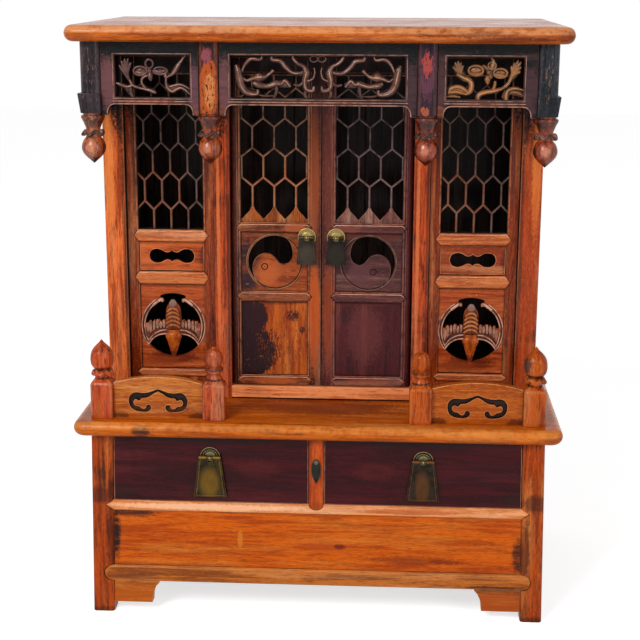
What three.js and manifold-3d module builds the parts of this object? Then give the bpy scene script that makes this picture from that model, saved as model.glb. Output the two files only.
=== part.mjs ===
// Chinese ancestor shrine: a base with two drawers, a cabinet with two lattice doors
// between two lattice bays, and a porch of hanging posts under one wide top board.
// Millimetres, X to the right, Y to the back, Z up. The origin is on the floor,
// under the middle of the two wide boards.
import * as THREE from 'three';
import { mergeVertices } from 'three/addons/utils/BufferGeometryUtils.js';
import Module from 'manifold-3d';

const wasm = await Module();
wasm.setup();

// Gaps between pieces
const seatGap = 0.3;
const slideGap = 0.5;
const runningGap = 1;
const cutOverrun = 4;
const weldDistance = 0.001;

// Top board and table board
const overallHeight = 1000;
const tableHeight = 350;
const boardDepth = 475;
const boardThickness = 26;
const topBoardWidth = 800;
const tableBoardWidth = 818;
const boardCornerRadius = 12;
const boardEdgeRound = 9;

// Base legs
const legTopHalfSpan = 381;
const legSpread = 6.5;
const legWidth = 37;
const legEdgeRadius = 6;
const frontSetback = 22;
const backSetback = 12;

// Rails and boards of the base
const railDepth = 30;
const lapDepth = 8;
const lapBevel = 2.5;
const drawerRailTop = 205;
const drawerRailHeight = 18;
const drawerRailPoint = 14;
const bottomRailTop = 86;
const bottomRailHeight = 29;
const bottomRailLap = 18;
const bracketDepth = 20;
const bracketFoot = 17;
const bracketReach = 66;
const bracketCove = 13;
const boardInset = 9;
const sideRailInset = 3;
const panelThickness = 12;
const frontPanelRecess = 5;
const dividerWidth = 25;
const dividerDepth = 22;
const tongueDrop = 10;
const guideHeight = 20;

// Drawers
const drawerRecess = 3;
const drawerFrontThickness = 16;
const drawerBoxHeight = 95;
const drawerWall = 9;
const drawerBottom = 6;
const drawerPullHeight = 287;

// Iron catch on the drawer divider
const catchPivotHeight = 282;
const catchWidth = 16;
const catchDrop = 38;
const catchThickness = 2;
const catchShoulderShare = 0.35;
const catchBellyShare = 0.7;
const nailRadius = 1.6;
const nailLength = 14;
const nailHeadRadius = 4;

// Pulls of the drawers and of the doors
const pinRadius = 1.3;
const pinOffset = 6;
const knuckleRadius = 2.8;
const knuckleGap = 5;
const pullThickness = 2;
const pullNotch = 8;
const plateThickness = 1.6;
const plateRimShare = 0.8;
const plateGrooveShare = 0.72;
const plateBossShare = 0.4;
const stemRadius = 2.4;
const stemLength = 10;
const drawerPullSizes = { plateRadius: 17, topWidth: 38, bottomWidth: 56, drop: 70 };
const doorPullSizes = { plateRadius: 15.5, topWidth: 26, bottomWidth: 35, drop: 47 };

// Cabinet posts and rails
const cabinetHalfWidth = 372;
const cabinetSetback = 152;
const cabinetBackSetback = 10;
const postWidth = 36;
const postReedSag = 1.6;
const postEdgeRadius = 4;
const innerPostEdge = 157;
const innerPostWidth = 27;
const innerPostReedSag = 3;
const sillSetback = 5;
const sillDepth = 28;
const sillHeight = 23;
const headRailHeight = 30;
const cabinetSideInset = 5;
const cabinetSideRail = 40;
const cabinetSideRailProud = 3;
const plankCount = 5;
const plankGroove = 3;

// Doors and bays
const leafSetback = 11;
const doorThickness = 20;
const bayThickness = 18;
const doorMeetingStile = 23;
const doorOuterStile = 17;
const bayStile = 19;
const leafTopRail = 30;
const insetPanelThickness = 8;
const insetPanelRecess = 4;
const grooveDepth = 3;
const railBarProud = 2.5;
const railBarPoint = 8;
const doorPinRadius = 4;
const doorPinLength = 8;
const doorBottomRail = 18;
const doorLowerPanel = 133;
const doorMiddleRail = 18;
const taijiPanelHeight = 104;
const doorUpperRail = 16.5;
const bayBottomRail = 28;
const batPanelHeight = 152;
const bayMiddleRail = 23;
const slotPanelHeight = 52;
const bayUpperRail = 21.5;

// Lattices of long hexagons
const latticeBar = 4;
const latticeThickness = 8;
const hexagonUpright = 35.5;
const hexagonRise = 15;
const doorHexagonPitch = 37.3;
const bayHexagonPitch = 29.9;
const doorLatticeStart = 44.5;
const bayLatticeStart = 15.5;

// Pierced panels
const slotHalfWidth = 40;
const slotHalfHeight = 13;
const batRadius = 56.5;
const batRelief = 5;
const batBodyRadius = 12.5;
const taijiRadius = 47;
const taijiRim = 3;
const taijiTurn = 38;
const taijiTailAngle = 14;
const taijiPanelOffset = 0.5;

// Porch
const porchOuterX = 362;
const porchInnerX = 173;
const hangingPostSetback = 22;
const hangingPostWidth = 32;
const hangingPostEdgeRadius = 4;
const hangingPostLength = 113;
const collarHeight = 32;
const collarProud = 4;
const dropHeight = 81;
const dropRadius = 19.5;
const friezeThickness = 16;
const friezeStile = 14;
const friezeOuterStile = 22;
const friezeCentreStile = 18;
const friezeTopRail = 21;
const friezeOpeningHeight = 66;
const friezeBottomRail = 12;
const friezeFoot = 9;
const friezeCornerRun = 14;
const friezeCornerDrop = 17;
const carvingThickness = 9;
const sideFriezeRecess = 3;

// Newels and balustrade
const newelSetback = 24;
const newelWidth = 38;
const newelEdgeRadius = 7;
const newelBodyHeight = 66;
const outerFinialHeight = 68;
const outerFinialRadius = 19;
const innerFinialHeight = 58;
const innerFinialRadius = 15.5;
const balustradeThickness = 14;
const balustradeSideHeight = 60;
const balustradeRise = 11;
const cloudGroove = 5;
const cloudHalfWidth = 49;
const cloudHeight = 38;
const cloudLift = 10;

// Sizes worked out from the ones above
const frontEdge = -boardDepth / 2;
const backEdge = boardDepth / 2;
const legHeight = tableHeight - boardThickness;
const baseFront = frontEdge + frontSetback;
const baseBack = backEdge - backSetback;
const frontLegBack = baseFront + legWidth;
const backLegFront = baseBack - legWidth;
const baseBackBoardFront = baseBack - boardInset - panelThickness;
const drawerRailBottom = drawerRailTop - drawerRailHeight;
const bottomRailBottom = bottomRailTop - bottomRailHeight;
const cabinetHeight = overallHeight - boardThickness - tableHeight;
const cabinetFront = frontEdge + cabinetSetback;
const cabinetBack = backEdge - cabinetBackSetback;
const postInnerEdge = cabinetHalfWidth - postWidth;
const innerPostOuterEdge = innerPostEdge + innerPostWidth;
const sillFront = cabinetFront + sillSetback;
const leafFront = cabinetFront + leafSetback;
const headRailBottom = cabinetHeight - headRailHeight;
const doorPivotX = innerPostEdge - runningGap - doorThickness / 2;
const doorPivotY = leafFront + doorThickness / 2;

// Helpers for shapes and solids

function outline(points) {
  return new THREE.Shape(points.map(([x, y]) => new THREE.Vector2(x, y)));
}

function rectangle(left, bottom, right, top) {
  return outline([[left, bottom], [right, bottom], [right, top], [left, top]]);
}

function arc(centreX, centreY, radius, from, to, steps) {
  return Array.from({ length: steps + 1 }, (_, i) => {
    const angle = from + ((to - from) * i) / steps;
    return [centreX + radius * Math.cos(angle), centreY + radius * Math.sin(angle)];
  });
}

function roundedRectangle(width, depth, radius) {
  const x = width / 2 - radius;
  const y = depth / 2 - radius;
  const shape = new THREE.Shape();
  shape.absarc(x, y, radius, 0, Math.PI / 2);
  shape.absarc(-x, y, radius, Math.PI / 2, Math.PI);
  shape.absarc(-x, -y, radius, Math.PI, 1.5 * Math.PI);
  shape.absarc(x, -y, radius, 1.5 * Math.PI, 2 * Math.PI);
  return shape;
}

function extrude(shape, depth, bevel, curveSegments) {
  return new THREE.ExtrudeGeometry(shape, {
    depth: depth - 2 * bevel,
    bevelEnabled: bevel > 0,
    bevelThickness: bevel,
    bevelSize: bevel,
    bevelOffset: -bevel,
    bevelSegments: 1,
    curveSegments,
  }).translate(0, 0, bevel);
}

// A shape drawn as seen from the front, run back from frontY
function frontBoard(shape, frontY, depth, bevel = 0, curveSegments = 6) {
  return extrude(shape, depth, bevel, curveSegments)
    .rotateX(Math.PI / 2)
    .translate(0, frontY + depth, 0);
}

// A shape drawn in plan, run up from a height
function upright(shape, height, length, curveSegments = 3) {
  return extrude(shape, length, 0, curveSegments).translate(0, 0, height);
}

// A shape drawn in Y and Z, run to the right from leftX
function sideBoard(shape, leftX, width, curveSegments = 6) {
  const axes = new THREE.Matrix4().makeBasis(
    new THREE.Vector3(0, 1, 0),
    new THREE.Vector3(0, 0, 1),
    new THREE.Vector3(1, 0, 0),
  );
  return extrude(shape, width, 0, curveSegments).applyMatrix4(axes).translate(leftX, 0, 0);
}

// A profile of [radius, height] pairs turned about the Z axis
function turned(profile, segments = 16) {
  const points = profile.map(([radius, height]) => new THREE.Vector2(radius, height));
  return new THREE.LatheGeometry(points, segments).rotateX(Math.PI / 2);
}

const scaledProfile = (shares, radius, height) => shares.map(([r, h]) => [r * radius, h * height]);

// A profile of [radius, distance towards the front] pairs turned about the Y axis
function turnedFront(profile, segments = 16) {
  return turned(profile, segments).rotateX(Math.PI / 2);
}

function rod(radius, height, length, segments = 16) {
  return turned([[0, height], [radius, height], [radius, height + length], [0, height + length]], segments);
}

function flipFaces(geometry) {
  const index = geometry.index.array;
  for (let i = 0; i < index.length; i += 3) {
    [index[i], index[i + 1]] = [index[i + 1], index[i]];
  }
  return geometry;
}

function welded(geometry) {
  const bare = geometry.clone();
  bare.deleteAttribute('normal');
  bare.deleteAttribute('uv');
  const merged = mergeVertices(bare, weldDistance);
  const corners = merged.index.array;
  const kept = [];
  for (let i = 0; i < corners.length; i += 3) {
    const [a, b, c] = corners.slice(i, i + 3);
    if (a !== b && b !== c && c !== a) kept.push(a, b, c);
  }
  merged.setIndex(kept);
  return merged;
}

function toSolid(geometry) {
  const merged = welded(geometry);
  return new wasm.Manifold(new wasm.Mesh({
    numProp: 3,
    vertProperties: new Float32Array(merged.attributes.position.array),
    triVerts: new Uint32Array(merged.index.array),
  }));
}

function toGeometry(solid) {
  const mesh = solid.getMesh();
  const geometry = new THREE.BufferGeometry();
  geometry.setAttribute('position', new THREE.BufferAttribute(new Float32Array(mesh.vertProperties), 3));
  geometry.setIndex(new THREE.BufferAttribute(new Uint32Array(mesh.triVerts), 1));
  return geometry;
}

function joined(...geometries) {
  return toGeometry(geometries.map(toSolid).reduce((whole, piece) => whole.add(piece)));
}

function cut(geometry, ...cutters) {
  return toGeometry(cutters.map(toSolid).reduce((whole, piece) => whole.subtract(piece), toSolid(geometry)));
}

function mirrored(geometry) {
  return flipFaces(welded(geometry).scale(-1, 1, 1));
}

// The same geometry on the right, and its mirror image on the left
const onSide = (side, geometry) => (side < 0 ? mirrored(geometry) : geometry);
const sides = [['left', -1], ['right', 1]];

const finish = (color, roughness, metalness = 0) =>
  new THREE.MeshStandardMaterial({ color, roughness, metalness });
const orangeLacquer = () => finish(0xb8602a, 0.42);
const lightLacquer = () => finish(0xc9762f, 0.42);
const redBrownLacquer = () => finish(0x8a3a20, 0.45);
const maroonLacquer = () => finish(0x40161a, 0.5);
const blackLacquer = () => finish(0x2a2026, 0.5);
const bareWood = () => finish(0x6e4a30, 0.8);
const brass = () => finish(0x8a7434, 0.4, 0.9);
const darkBrass = () => finish(0x4a4436, 0.5, 0.8);
const iron = () => finish(0x33312f, 0.6, 0.8);

function add(group, name, geometry, material, x = 0, y = 0, z = 0) {
  const mesh = new THREE.Mesh(geometry, material);
  mesh.name = name;
  mesh.position.set(x, y, z);
  group.add(mesh);
}

// Wide boards with rounded edges and corners
function wideBoard(width) {
  const flatWidth = width - 2 * boardEdgeRound;
  const flatDepth = boardDepth - 2 * boardEdgeRound;
  return new THREE.ExtrudeGeometry(roundedRectangle(flatWidth, flatDepth, boardCornerRadius), {
    depth: boardThickness - 2 * boardEdgeRound,
    bevelThickness: boardEdgeRound,
    bevelSize: boardEdgeRound,
    bevelSegments: 3,
    curveSegments: 3,
  }).translate(0, 0, boardEdgeRound);
}

// Base: the legs lean, so each is wider apart at the floor than under the table board
const legOuter = (z) => legTopHalfSpan + legSpread * (1 - z / legHeight);
const legInner = (z) => legOuter(z) - legWidth;

function leg(side, frontY) {
  const lean = -side * legSpread / legHeight;
  const plan = roundedRectangle(legWidth, legWidth, legEdgeRadius);
  return upright(plan, 0, legHeight - seatGap)
    .applyMatrix4(new THREE.Matrix4().makeShear(0, 0, 0, 0, lean, 0))
    .translate(side * (legOuter(0) - legWidth / 2), frontY + legWidth / 2, 0);
}

// A bar with pointed ends that lap onto the stiles beside it
function pointedBar(centre, halfLength, bottom, top, point) {
  const middle = (bottom + top) / 2;
  return outline([
    [centre - halfLength, bottom],
    [centre + halfLength, bottom],
    [centre + halfLength + point, middle],
    [centre + halfLength, top],
    [centre - halfLength, top],
    [centre - halfLength - point, middle],
  ]);
}

function roundedBar(halfLength, bottom, top) {
  const radius = (top - bottom) / 2;
  const shape = new THREE.Shape();
  shape.absarc(halfLength - radius, bottom + radius, radius, -Math.PI / 2, Math.PI / 2);
  shape.absarc(radius - halfLength, bottom + radius, radius, Math.PI / 2, 1.5 * Math.PI);
  return shape;
}

const drawerRailOutline = (gap) => pointedBar(
  0, legInner(drawerRailTop), drawerRailBottom - gap, drawerRailTop + gap, drawerRailPoint + 3 * gap);
const bottomRailOutline = (gap) => roundedBar(
  legInner(bottomRailTop) + bottomRailLap + gap, bottomRailBottom - gap, bottomRailTop + gap);

function betweenLegs(bottom, top) {
  return outline([
    [seatGap - legInner(bottom), bottom],
    [legInner(bottom) - seatGap, bottom],
    [legInner(top) - seatGap, top],
    [seatGap - legInner(top), top],
  ]);
}

function tongueOutline(gap, top) {
  const halfWidth = dividerWidth / 2 + gap;
  const shape = new THREE.Shape();
  shape.absellipse(0, drawerRailTop, halfWidth, tongueDrop + gap, Math.PI, 2 * Math.PI);
  shape.lineTo(halfWidth, top);
  shape.lineTo(-halfWidth, top);
  return shape;
}

function lappedRail(lapShape, bottom, top) {
  const lap = frontBoard(lapShape, baseFront, lapDepth, lapBevel);
  const body = frontBoard(betweenLegs(bottom, top), baseFront + lapBevel, railDepth - lapBevel);
  return joined(lap, body);
}

const lapCutter = (shape) =>
  frontBoard(shape, baseFront - cutOverrun, lapDepth + cutOverrun + seatGap);

function bracket() {
  const top = bottomRailBottom + lapBevel;
  const outer = (z) => legInner(z) - seatGap;
  const inner = outer(bracketFoot) - bracketReach;
  const shape = new THREE.Shape();
  shape.moveTo(outer(bracketFoot), bracketFoot);
  shape.lineTo(outer(top), top);
  shape.lineTo(inner - bracketCove, top);
  shape.lineTo(inner - bracketCove, bottomRailBottom - lapBevel);
  shape.quadraticCurveTo(inner, bottomRailBottom - bracketCove, inner, bracketFoot);
  return frontBoard(shape, baseFront + lapBevel, bracketDepth, 0, 4);
}

function drawerDivider() {
  const top = legHeight - seatGap;
  const halfWidth = dividerWidth / 2;
  const lap = frontBoard(tongueOutline(0, top), baseFront, lapDepth, lapBevel);
  const stile = frontBoard(
    rectangle(-halfWidth, drawerRailTop + seatGap, halfWidth, top),
    baseFront + lapBevel, dividerDepth - lapBevel);
  const guideHalfWidth = halfWidth - runningGap;
  const guideFront = baseFront + dividerDepth - lapBevel;
  const guide = frontBoard(
    rectangle(-guideHalfWidth, drawerRailTop + seatGap, guideHalfWidth, drawerRailTop + guideHeight),
    guideFront, baseBackBoardFront - seatGap - guideFront);
  const nailHole = rod(nailRadius + seatGap, 0, nailLength + cutOverrun)
    .rotateX(Math.PI / 2)
    .translate(0, baseFront + nailLength, catchPivotHeight);
  return cut(joined(lap, stile, guide), nailHole);
}

function drawerShelf() {
  const legEdge = legInner(drawerRailTop) - seatGap;
  const boardEdge = legOuter(drawerRailTop) - boardInset - panelThickness - seatGap;
  const front = baseFront + railDepth + seatGap;
  const back = baseBackBoardFront - seatGap;
  const legFront = frontLegBack + seatGap;
  const legBack = backLegFront - seatGap;
  const right = [
    [legEdge, front], [legEdge, legFront], [boardEdge, legFront],
    [boardEdge, legBack], [legEdge, legBack], [legEdge, back],
  ];
  const left = right.map(([x, y]) => [-x, y]).reverse();
  return upright(outline([...right, ...left]), drawerRailBottom, drawerRailHeight);
}

function baseSide() {
  const face = (z, inset) => legOuter(z) - inset;
  const top = legHeight - seatGap;
  const inner = boardInset + panelThickness;
  const shape = outline([
    [face(bottomRailBottom, inner), bottomRailBottom],
    [face(bottomRailBottom, sideRailInset), bottomRailBottom],
    [face(bottomRailTop, sideRailInset), bottomRailTop],
    [face(bottomRailTop, boardInset), bottomRailTop],
    [face(top, boardInset), top],
    [face(top, inner), top],
  ]);
  return frontBoard(shape, frontLegBack + seatGap, backLegFront - frontLegBack - 2 * seatGap);
}

// Drawers: the right one is drawn, the left one is its mirror image
const drawerInnerX = dividerWidth / 2 + runningGap;
const drawerFrontY = baseFront + drawerRecess;
const drawerFloor = drawerRailTop + slideGap;
const drawerCentreX = (drawerInnerX + legInner(drawerRailTop) - runningGap) / 2;

function drawer() {
  const top = legHeight - runningGap;
  const outer = (z) => legInner(z) - runningGap;
  const front = frontBoard(outline([
    [drawerInnerX, drawerFloor],
    [outer(drawerFloor), drawerFloor],
    [outer(top), top],
    [drawerInnerX, top],
  ]), drawerFrontY, drawerFrontThickness);
  const boxRight = outer(legHeight) - runningGap;
  const boxFront = drawerFrontY + drawerFrontThickness;
  const boxBack = baseBackBoardFront - 2 * runningGap;
  const walls = rectangle(drawerInnerX, boxFront - grooveDepth, boxRight, boxBack);
  walls.holes.push(rectangle(
    drawerInnerX + drawerWall, boxFront, boxRight - drawerWall, boxBack - drawerWall));
  const floor = rectangle(drawerInnerX, boxFront - grooveDepth, boxRight, boxBack);
  return joined(
    front,
    upright(walls, drawerFloor, drawerBoxHeight),
    upright(floor, drawerFloor, drawerBottom),
  );
}

// Pulls: a round plate with a stem and a cross pin, and a plate that hangs on the pin.
// Both are drawn about the middle of the round plate's back.
function pullPlate({ plateRadius, topWidth }) {
  const plateAndStem = turnedFront([
    [0, 0],
    [plateRadius, 0],
    [plateRadius, plateThickness],
    [plateRadius * plateRimShare, plateThickness],
    [plateRadius * plateGrooveShare, plateThickness / 2],
    [plateRadius * plateBossShare, plateThickness],
    [stemRadius, plateThickness],
    [stemRadius, stemLength - stemRadius],
    [0, stemLength],
  ], 20);
  const pin = rod(pinRadius, -topWidth / 2, topWidth, 12)
    .rotateY(Math.PI / 2)
    .translate(0, -pinOffset, 0);
  return joined(plateAndStem, pin);
}

function pull({ topWidth, bottomWidth, drop }) {
  const notch = stemRadius + 2 * runningGap;
  const plate = frontBoard(outline([
    [-bottomWidth / 2, -drop],
    [bottomWidth / 2, -drop],
    [topWidth / 2, -pinRadius - slideGap],
    [notch, -pinRadius - slideGap],
    [notch, -pullNotch],
    [-notch, -pullNotch],
    [-notch, -pinRadius - slideGap],
    [-topWidth / 2, -pinRadius - slideGap],
  ]), -pinOffset - pullThickness / 2, pullThickness);
  const ring = new THREE.Shape().absarc(0, 0, knuckleRadius, 0, 2 * Math.PI);
  ring.holes.push(new THREE.Path().absarc(0, 0, pinRadius + seatGap, 0, 2 * Math.PI));
  const knuckle = sideBoard(ring, knuckleGap, topWidth / 2 - knuckleGap).translate(0, -pinOffset, 0);
  const bore = rod(pinRadius + seatGap, -topWidth, 2 * topWidth, 12)
    .rotateY(Math.PI / 2)
    .translate(0, -pinOffset, 0);
  return cut(joined(plate, knuckle, mirrored(knuckle)), bore);
}

// The catch is a leaf that hangs from its nail in front of the divider
function drawerCatch() {
  const halfWidth = catchWidth / 2;
  const top = nailHeadRadius + runningGap;
  const shoulder = -catchDrop * catchShoulderShare;
  const belly = -catchDrop * catchBellyShare;
  const leaf = new THREE.Shape();
  leaf.moveTo(0, -catchDrop);
  leaf.quadraticCurveTo(-halfWidth, belly, -halfWidth, shoulder);
  leaf.quadraticCurveTo(-halfWidth, top, 0, top);
  leaf.quadraticCurveTo(halfWidth, top, halfWidth, shoulder);
  leaf.quadraticCurveTo(halfWidth, belly, 0, -catchDrop);
  const plate = frontBoard(leaf, -catchThickness - slideGap, catchThickness);
  const nail = turnedFront([
    [0, seatGap - nailLength],
    [nailRadius, seatGap - nailLength],
    [nailRadius, catchThickness],
    [nailHeadRadius, catchThickness],
    [nailHeadRadius, catchThickness + nailRadius / 2],
    [nailRadius, catchThickness + nailRadius],
    [0, catchThickness + nailRadius],
  ], 12);
  return joined(plate, nail);
}

const base = new THREE.Group();
const legCutters = [lapCutter(drawerRailOutline(seatGap)), lapCutter(bottomRailOutline(seatGap))];
for (const [word, side] of sides) {
  add(base, `base_leg_front_${word}`, cut(leg(side, baseFront), ...legCutters), orangeLacquer());
  add(base, `base_leg_back_${word}`, leg(side, backLegFront), orangeLacquer());
  add(base, `base_side_${word}`, onSide(side, baseSide()), redBrownLacquer());
  add(base, `drawer_${word}`, onSide(side, drawer()), maroonLacquer());
  const pullPlace = [side * drawerCentreX, drawerFrontY - seatGap, drawerPullHeight];
  add(base, `drawer_plate_${word}`, pullPlate(drawerPullSizes), brass(), ...pullPlace);
  add(base, `drawer_pull_${word}`, pull(drawerPullSizes), darkBrass(), ...pullPlace);
}
const tongueCutter = lapCutter(tongueOutline(seatGap, drawerRailTop + cutOverrun));
const drawerRail = lappedRail(drawerRailOutline(0), drawerRailBottom, drawerRailTop);
add(base, 'drawer_rail', cut(drawerRail, tongueCutter), lightLacquer());
add(base, 'drawer_divider', drawerDivider(), orangeLacquer());
add(base, 'drawer_catch', drawerCatch(), iron(), 0, baseFront, catchPivotHeight);
add(base, 'drawer_shelf', drawerShelf(), bareWood());
const frontPanel = betweenLegs(bottomRailTop + seatGap, drawerRailBottom - seatGap);
add(base, 'base_front_panel',
  frontBoard(frontPanel, baseFront + frontPanelRecess, panelThickness), lightLacquer());
const bottomRail = lappedRail(bottomRailOutline(0), bottomRailBottom, bottomRailTop);
add(base, 'base_bottom_rail', joined(bottomRail, bracket(), mirrored(bracket())), orangeLacquer());
add(base, 'base_back', frontBoard(
  betweenLegs(bottomRailBottom, legHeight - seatGap), baseBackBoardFront, panelThickness), bareWood());
add(base, 'table_board', wideBoard(tableBoardWidth), orangeLacquer(), 0, 0, legHeight);

// Cabinet: heights are measured from the table board's top

// Plan of a post whose front face is a row of shallow reeds
function reededPlan(width, depth, reeds, sag) {
  const shape = new THREE.Shape();
  const reedWidth = width / reeds;
  shape.moveTo(-width / 2, depth / 2);
  shape.lineTo(-width / 2, sag - depth / 2);
  for (let reed = 0; reed < reeds; reed += 1) {
    const left = reed * reedWidth - width / 2;
    shape.quadraticCurveTo(
      left + reedWidth / 2, -sag - depth / 2, left + reedWidth, sag - depth / 2);
  }
  shape.lineTo(width / 2, depth / 2);
  return shape;
}

const postCentreX = cabinetHalfWidth - postWidth / 2;
const postLength = cabinetHeight - 2 * seatGap;

// Room for the sill or the head rail in the back of an inner post
const railRoom = (bottom, top) => frontBoard(
  rectangle(innerPostEdge - cutOverrun, bottom, innerPostOuterEdge + cutOverrun, top),
  sillFront - seatGap, sillDepth + cutOverrun);

function innerPost() {
  const depth = leafSetback + doorThickness;
  const post = upright(reededPlan(innerPostWidth, depth, 1, innerPostReedSag), seatGap, postLength, 6)
    .translate(innerPostEdge + innerPostWidth / 2, cabinetFront + depth / 2, 0);
  return cut(
    post,
    railRoom(-cutOverrun, sillHeight + seatGap),
    railRoom(headRailBottom - seatGap, cabinetHeight + cutOverrun));
}

function cabinetRail(bottom, height, socketBottom) {
  const rail = frontBoard(
    rectangle(seatGap - postInnerEdge, bottom, postInnerEdge - seatGap, bottom + height),
    sillFront, sillDepth);
  const sockets = sides.map(([, side]) =>
    rod(doorPinRadius + seatGap, socketBottom, doorPinLength + seatGap + cutOverrun)
      .translate(side * doorPivotX, doorPivotY, 0));
  return cut(rail, ...sockets);
}

function cabinetSide() {
  const face = cabinetHalfWidth - cabinetSideInset;
  const proud = face + cabinetSideRailProud;
  const inner = face - panelThickness;
  const top = cabinetHeight - seatGap;
  const shape = outline([
    [inner, seatGap],
    [proud, seatGap],
    [proud, cabinetSideRail],
    [face, cabinetSideRail],
    [face, top - cabinetSideRail],
    [proud, top - cabinetSideRail],
    [proud, top],
    [inner, top],
  ]);
  const front = cabinetFront + postWidth + seatGap;
  return frontBoard(shape, front, cabinetBack - postWidth - seatGap - front);
}

function cabinetBackBoards() {
  const half = postInnerEdge - seatGap;
  const front = cabinetBack - boardInset - panelThickness;
  const back = cabinetBack - boardInset;
  const joints = Array.from({ length: plankCount - 1 }, (_, i) => -half + (2 * half * (i + 1)) / plankCount);
  const grooved = (y, depth) => joints.flatMap((x) =>
    [[x - plankGroove, y], [x, y + depth], [x + plankGroove, y]]);
  const shape = outline([
    [-half, front],
    ...grooved(front, plankGroove),
    [half, front],
    [half, back],
    ...grooved(back, -plankGroove).reverse(),
    [-half, back],
  ]);
  return upright(shape, seatGap, postLength);
}

// Long hexagons that pierce a lattice, in rows that step by half a pitch
function hexagons(centre, halfWidth, start, top, pitch) {
  const rowStep = hexagonUpright + hexagonRise;
  const slope = (2 * hexagonRise) / pitch;
  const side = pitch / 2 - latticeBar / 2;
  const apex = hexagonUpright / 2 + hexagonRise - (latticeBar / 2) * Math.hypot(1, slope);
  const shoulder = apex - side * slope;
  const rows = Math.ceil((top - start) / rowStep) + 1;
  const columns = Math.ceil(halfWidth / pitch) + 1;
  const holes = [];
  for (let row = 0; row < rows; row += 1) {
    const z = start + row * rowStep;
    const shift = row % 2 === 0 ? pitch / 2 : 0;
    for (let column = -columns; column <= columns; column += 1) {
      const x = column * pitch + shift;
      if (Math.abs(x) - pitch / 2 > halfWidth) continue;
      holes.push(outline([
        [centre + x - side, z - shoulder],
        [centre + x, z - apex],
        [centre + x + side, z - shoulder],
        [centre + x + side, z + shoulder],
        [centre + x, z + apex],
        [centre + x - side, z + shoulder],
      ]));
    }
  }
  return holes;
}

function lattice(left, right, bottom, top, start, pitch) {
  const centre = (left + right) / 2;
  const y = leafFront + insetPanelRecess;
  const slab = frontBoard(
    rectangle(left - grooveDepth, bottom - grooveDepth, right + grooveDepth, top + grooveDepth),
    y, latticeThickness);
  const holes = hexagons(centre, (right - left) / 2, bottom + start, top, pitch);
  return cut(slab, frontBoard(holes, y - cutOverrun, latticeThickness + 2 * cutOverrun));
}

const insetBoard = (shape) => frontBoard(shape, leafFront + insetPanelRecess, insetPanelThickness);

// A moulded bar with pointed ends, standing proud of the frame
const railBar = (left, right, bottom, top) => frontBoard(
  pointedBar((left + right) / 2, (right - left) / 2, bottom, top, railBarPoint),
  leafFront - railBarProud, 3 * railBarProud, railBarProud);

// Heights of the pieces of a leaf, stacked from the sill
function stack(start, heights) {
  const levels = [start];
  for (const height of heights) levels.push(levels[levels.length - 1] + height);
  return levels;
}

// One quarter of the slot: half of the waist with its small cusp, and a quarter of a round lobe
const slotQuarterShares = [
  [0, 0.9], [0.04, 0.72], [0.12, 0.58], [0.22, 0.54], [0.32, 0.64], [0.42, 0.84],
  [0.54, 0.97], [0.68, 1], [0.82, 0.9], [0.93, 0.64], [0.98, 0.32], [1, 0],
];

function slotOutline(centreX, centreZ) {
  const across = ([x, z]) => [-x, z];
  const down = ([x, z]) => [x, -z];
  const right = [...slotQuarterShares, ...slotQuarterShares.slice(0, -1).reverse().map(down)];
  const left = right.slice(1, -1).reverse().map(across);
  return outline([...right, ...left].map(([x, z]) =>
    [centreX + x * slotHalfWidth, centreZ + z * slotHalfHeight]));
}

const bayLeft = innerPostOuterEdge + seatGap;
const bayRight = postInnerEdge - seatGap;
const bayOpeningLeft = bayLeft + bayStile;
const bayOpeningRight = bayRight - bayStile;
const bayCentre = (bayLeft + bayRight) / 2;
const bayLevels = stack(sillHeight + seatGap,
  [bayBottomRail, batPanelHeight, bayMiddleRail, slotPanelHeight, bayUpperRail]);
const bayTop = headRailBottom - seatGap;

function bayFrame() {
  const [bottom, batBottom, batTop, slotBottom, slotTop, latticeBottom] = bayLevels;
  const latticeTop = bayTop - leafTopRail;
  const frame = rectangle(bayLeft, bottom, bayRight, bayTop);
  frame.holes.push(rectangle(bayOpeningLeft, batBottom, bayOpeningRight, batTop));
  frame.holes.push(rectangle(bayOpeningLeft, slotBottom, bayOpeningRight, slotTop));
  frame.holes.push(rectangle(bayOpeningLeft, latticeBottom, bayOpeningRight, latticeTop));
  const slotPanel = rectangle(
    bayOpeningLeft - grooveDepth, slotBottom - grooveDepth,
    bayOpeningRight + grooveDepth, slotTop + grooveDepth);
  slotPanel.holes.push(slotOutline(bayCentre, (slotBottom + slotTop) / 2));
  const bar = (barBottom, barTop) => railBar(bayOpeningLeft, bayOpeningRight, barBottom, barTop);
  return joined(
    frontBoard(frame, leafFront, bayThickness),
    insetBoard(slotPanel),
    lattice(bayOpeningLeft, bayOpeningRight, latticeBottom, latticeTop, bayLatticeStart, bayHexagonPitch),
    bar((bottom + batBottom) / 2, batBottom),
    bar(batTop, slotBottom),
    bar(slotTop, latticeBottom),
  );
}

// The bat fills a round opening: the opening is three holes that leave the bat standing
const batBodyShares = [
  [0, -0.94], [0.55, -0.6], [1, -0.3], [0.78, -0.17], [0.95, -0.05],
  [0.95, 0.3], [0.78, 0.55], [0.55, 0.7], [0, 0.79],
];

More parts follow.
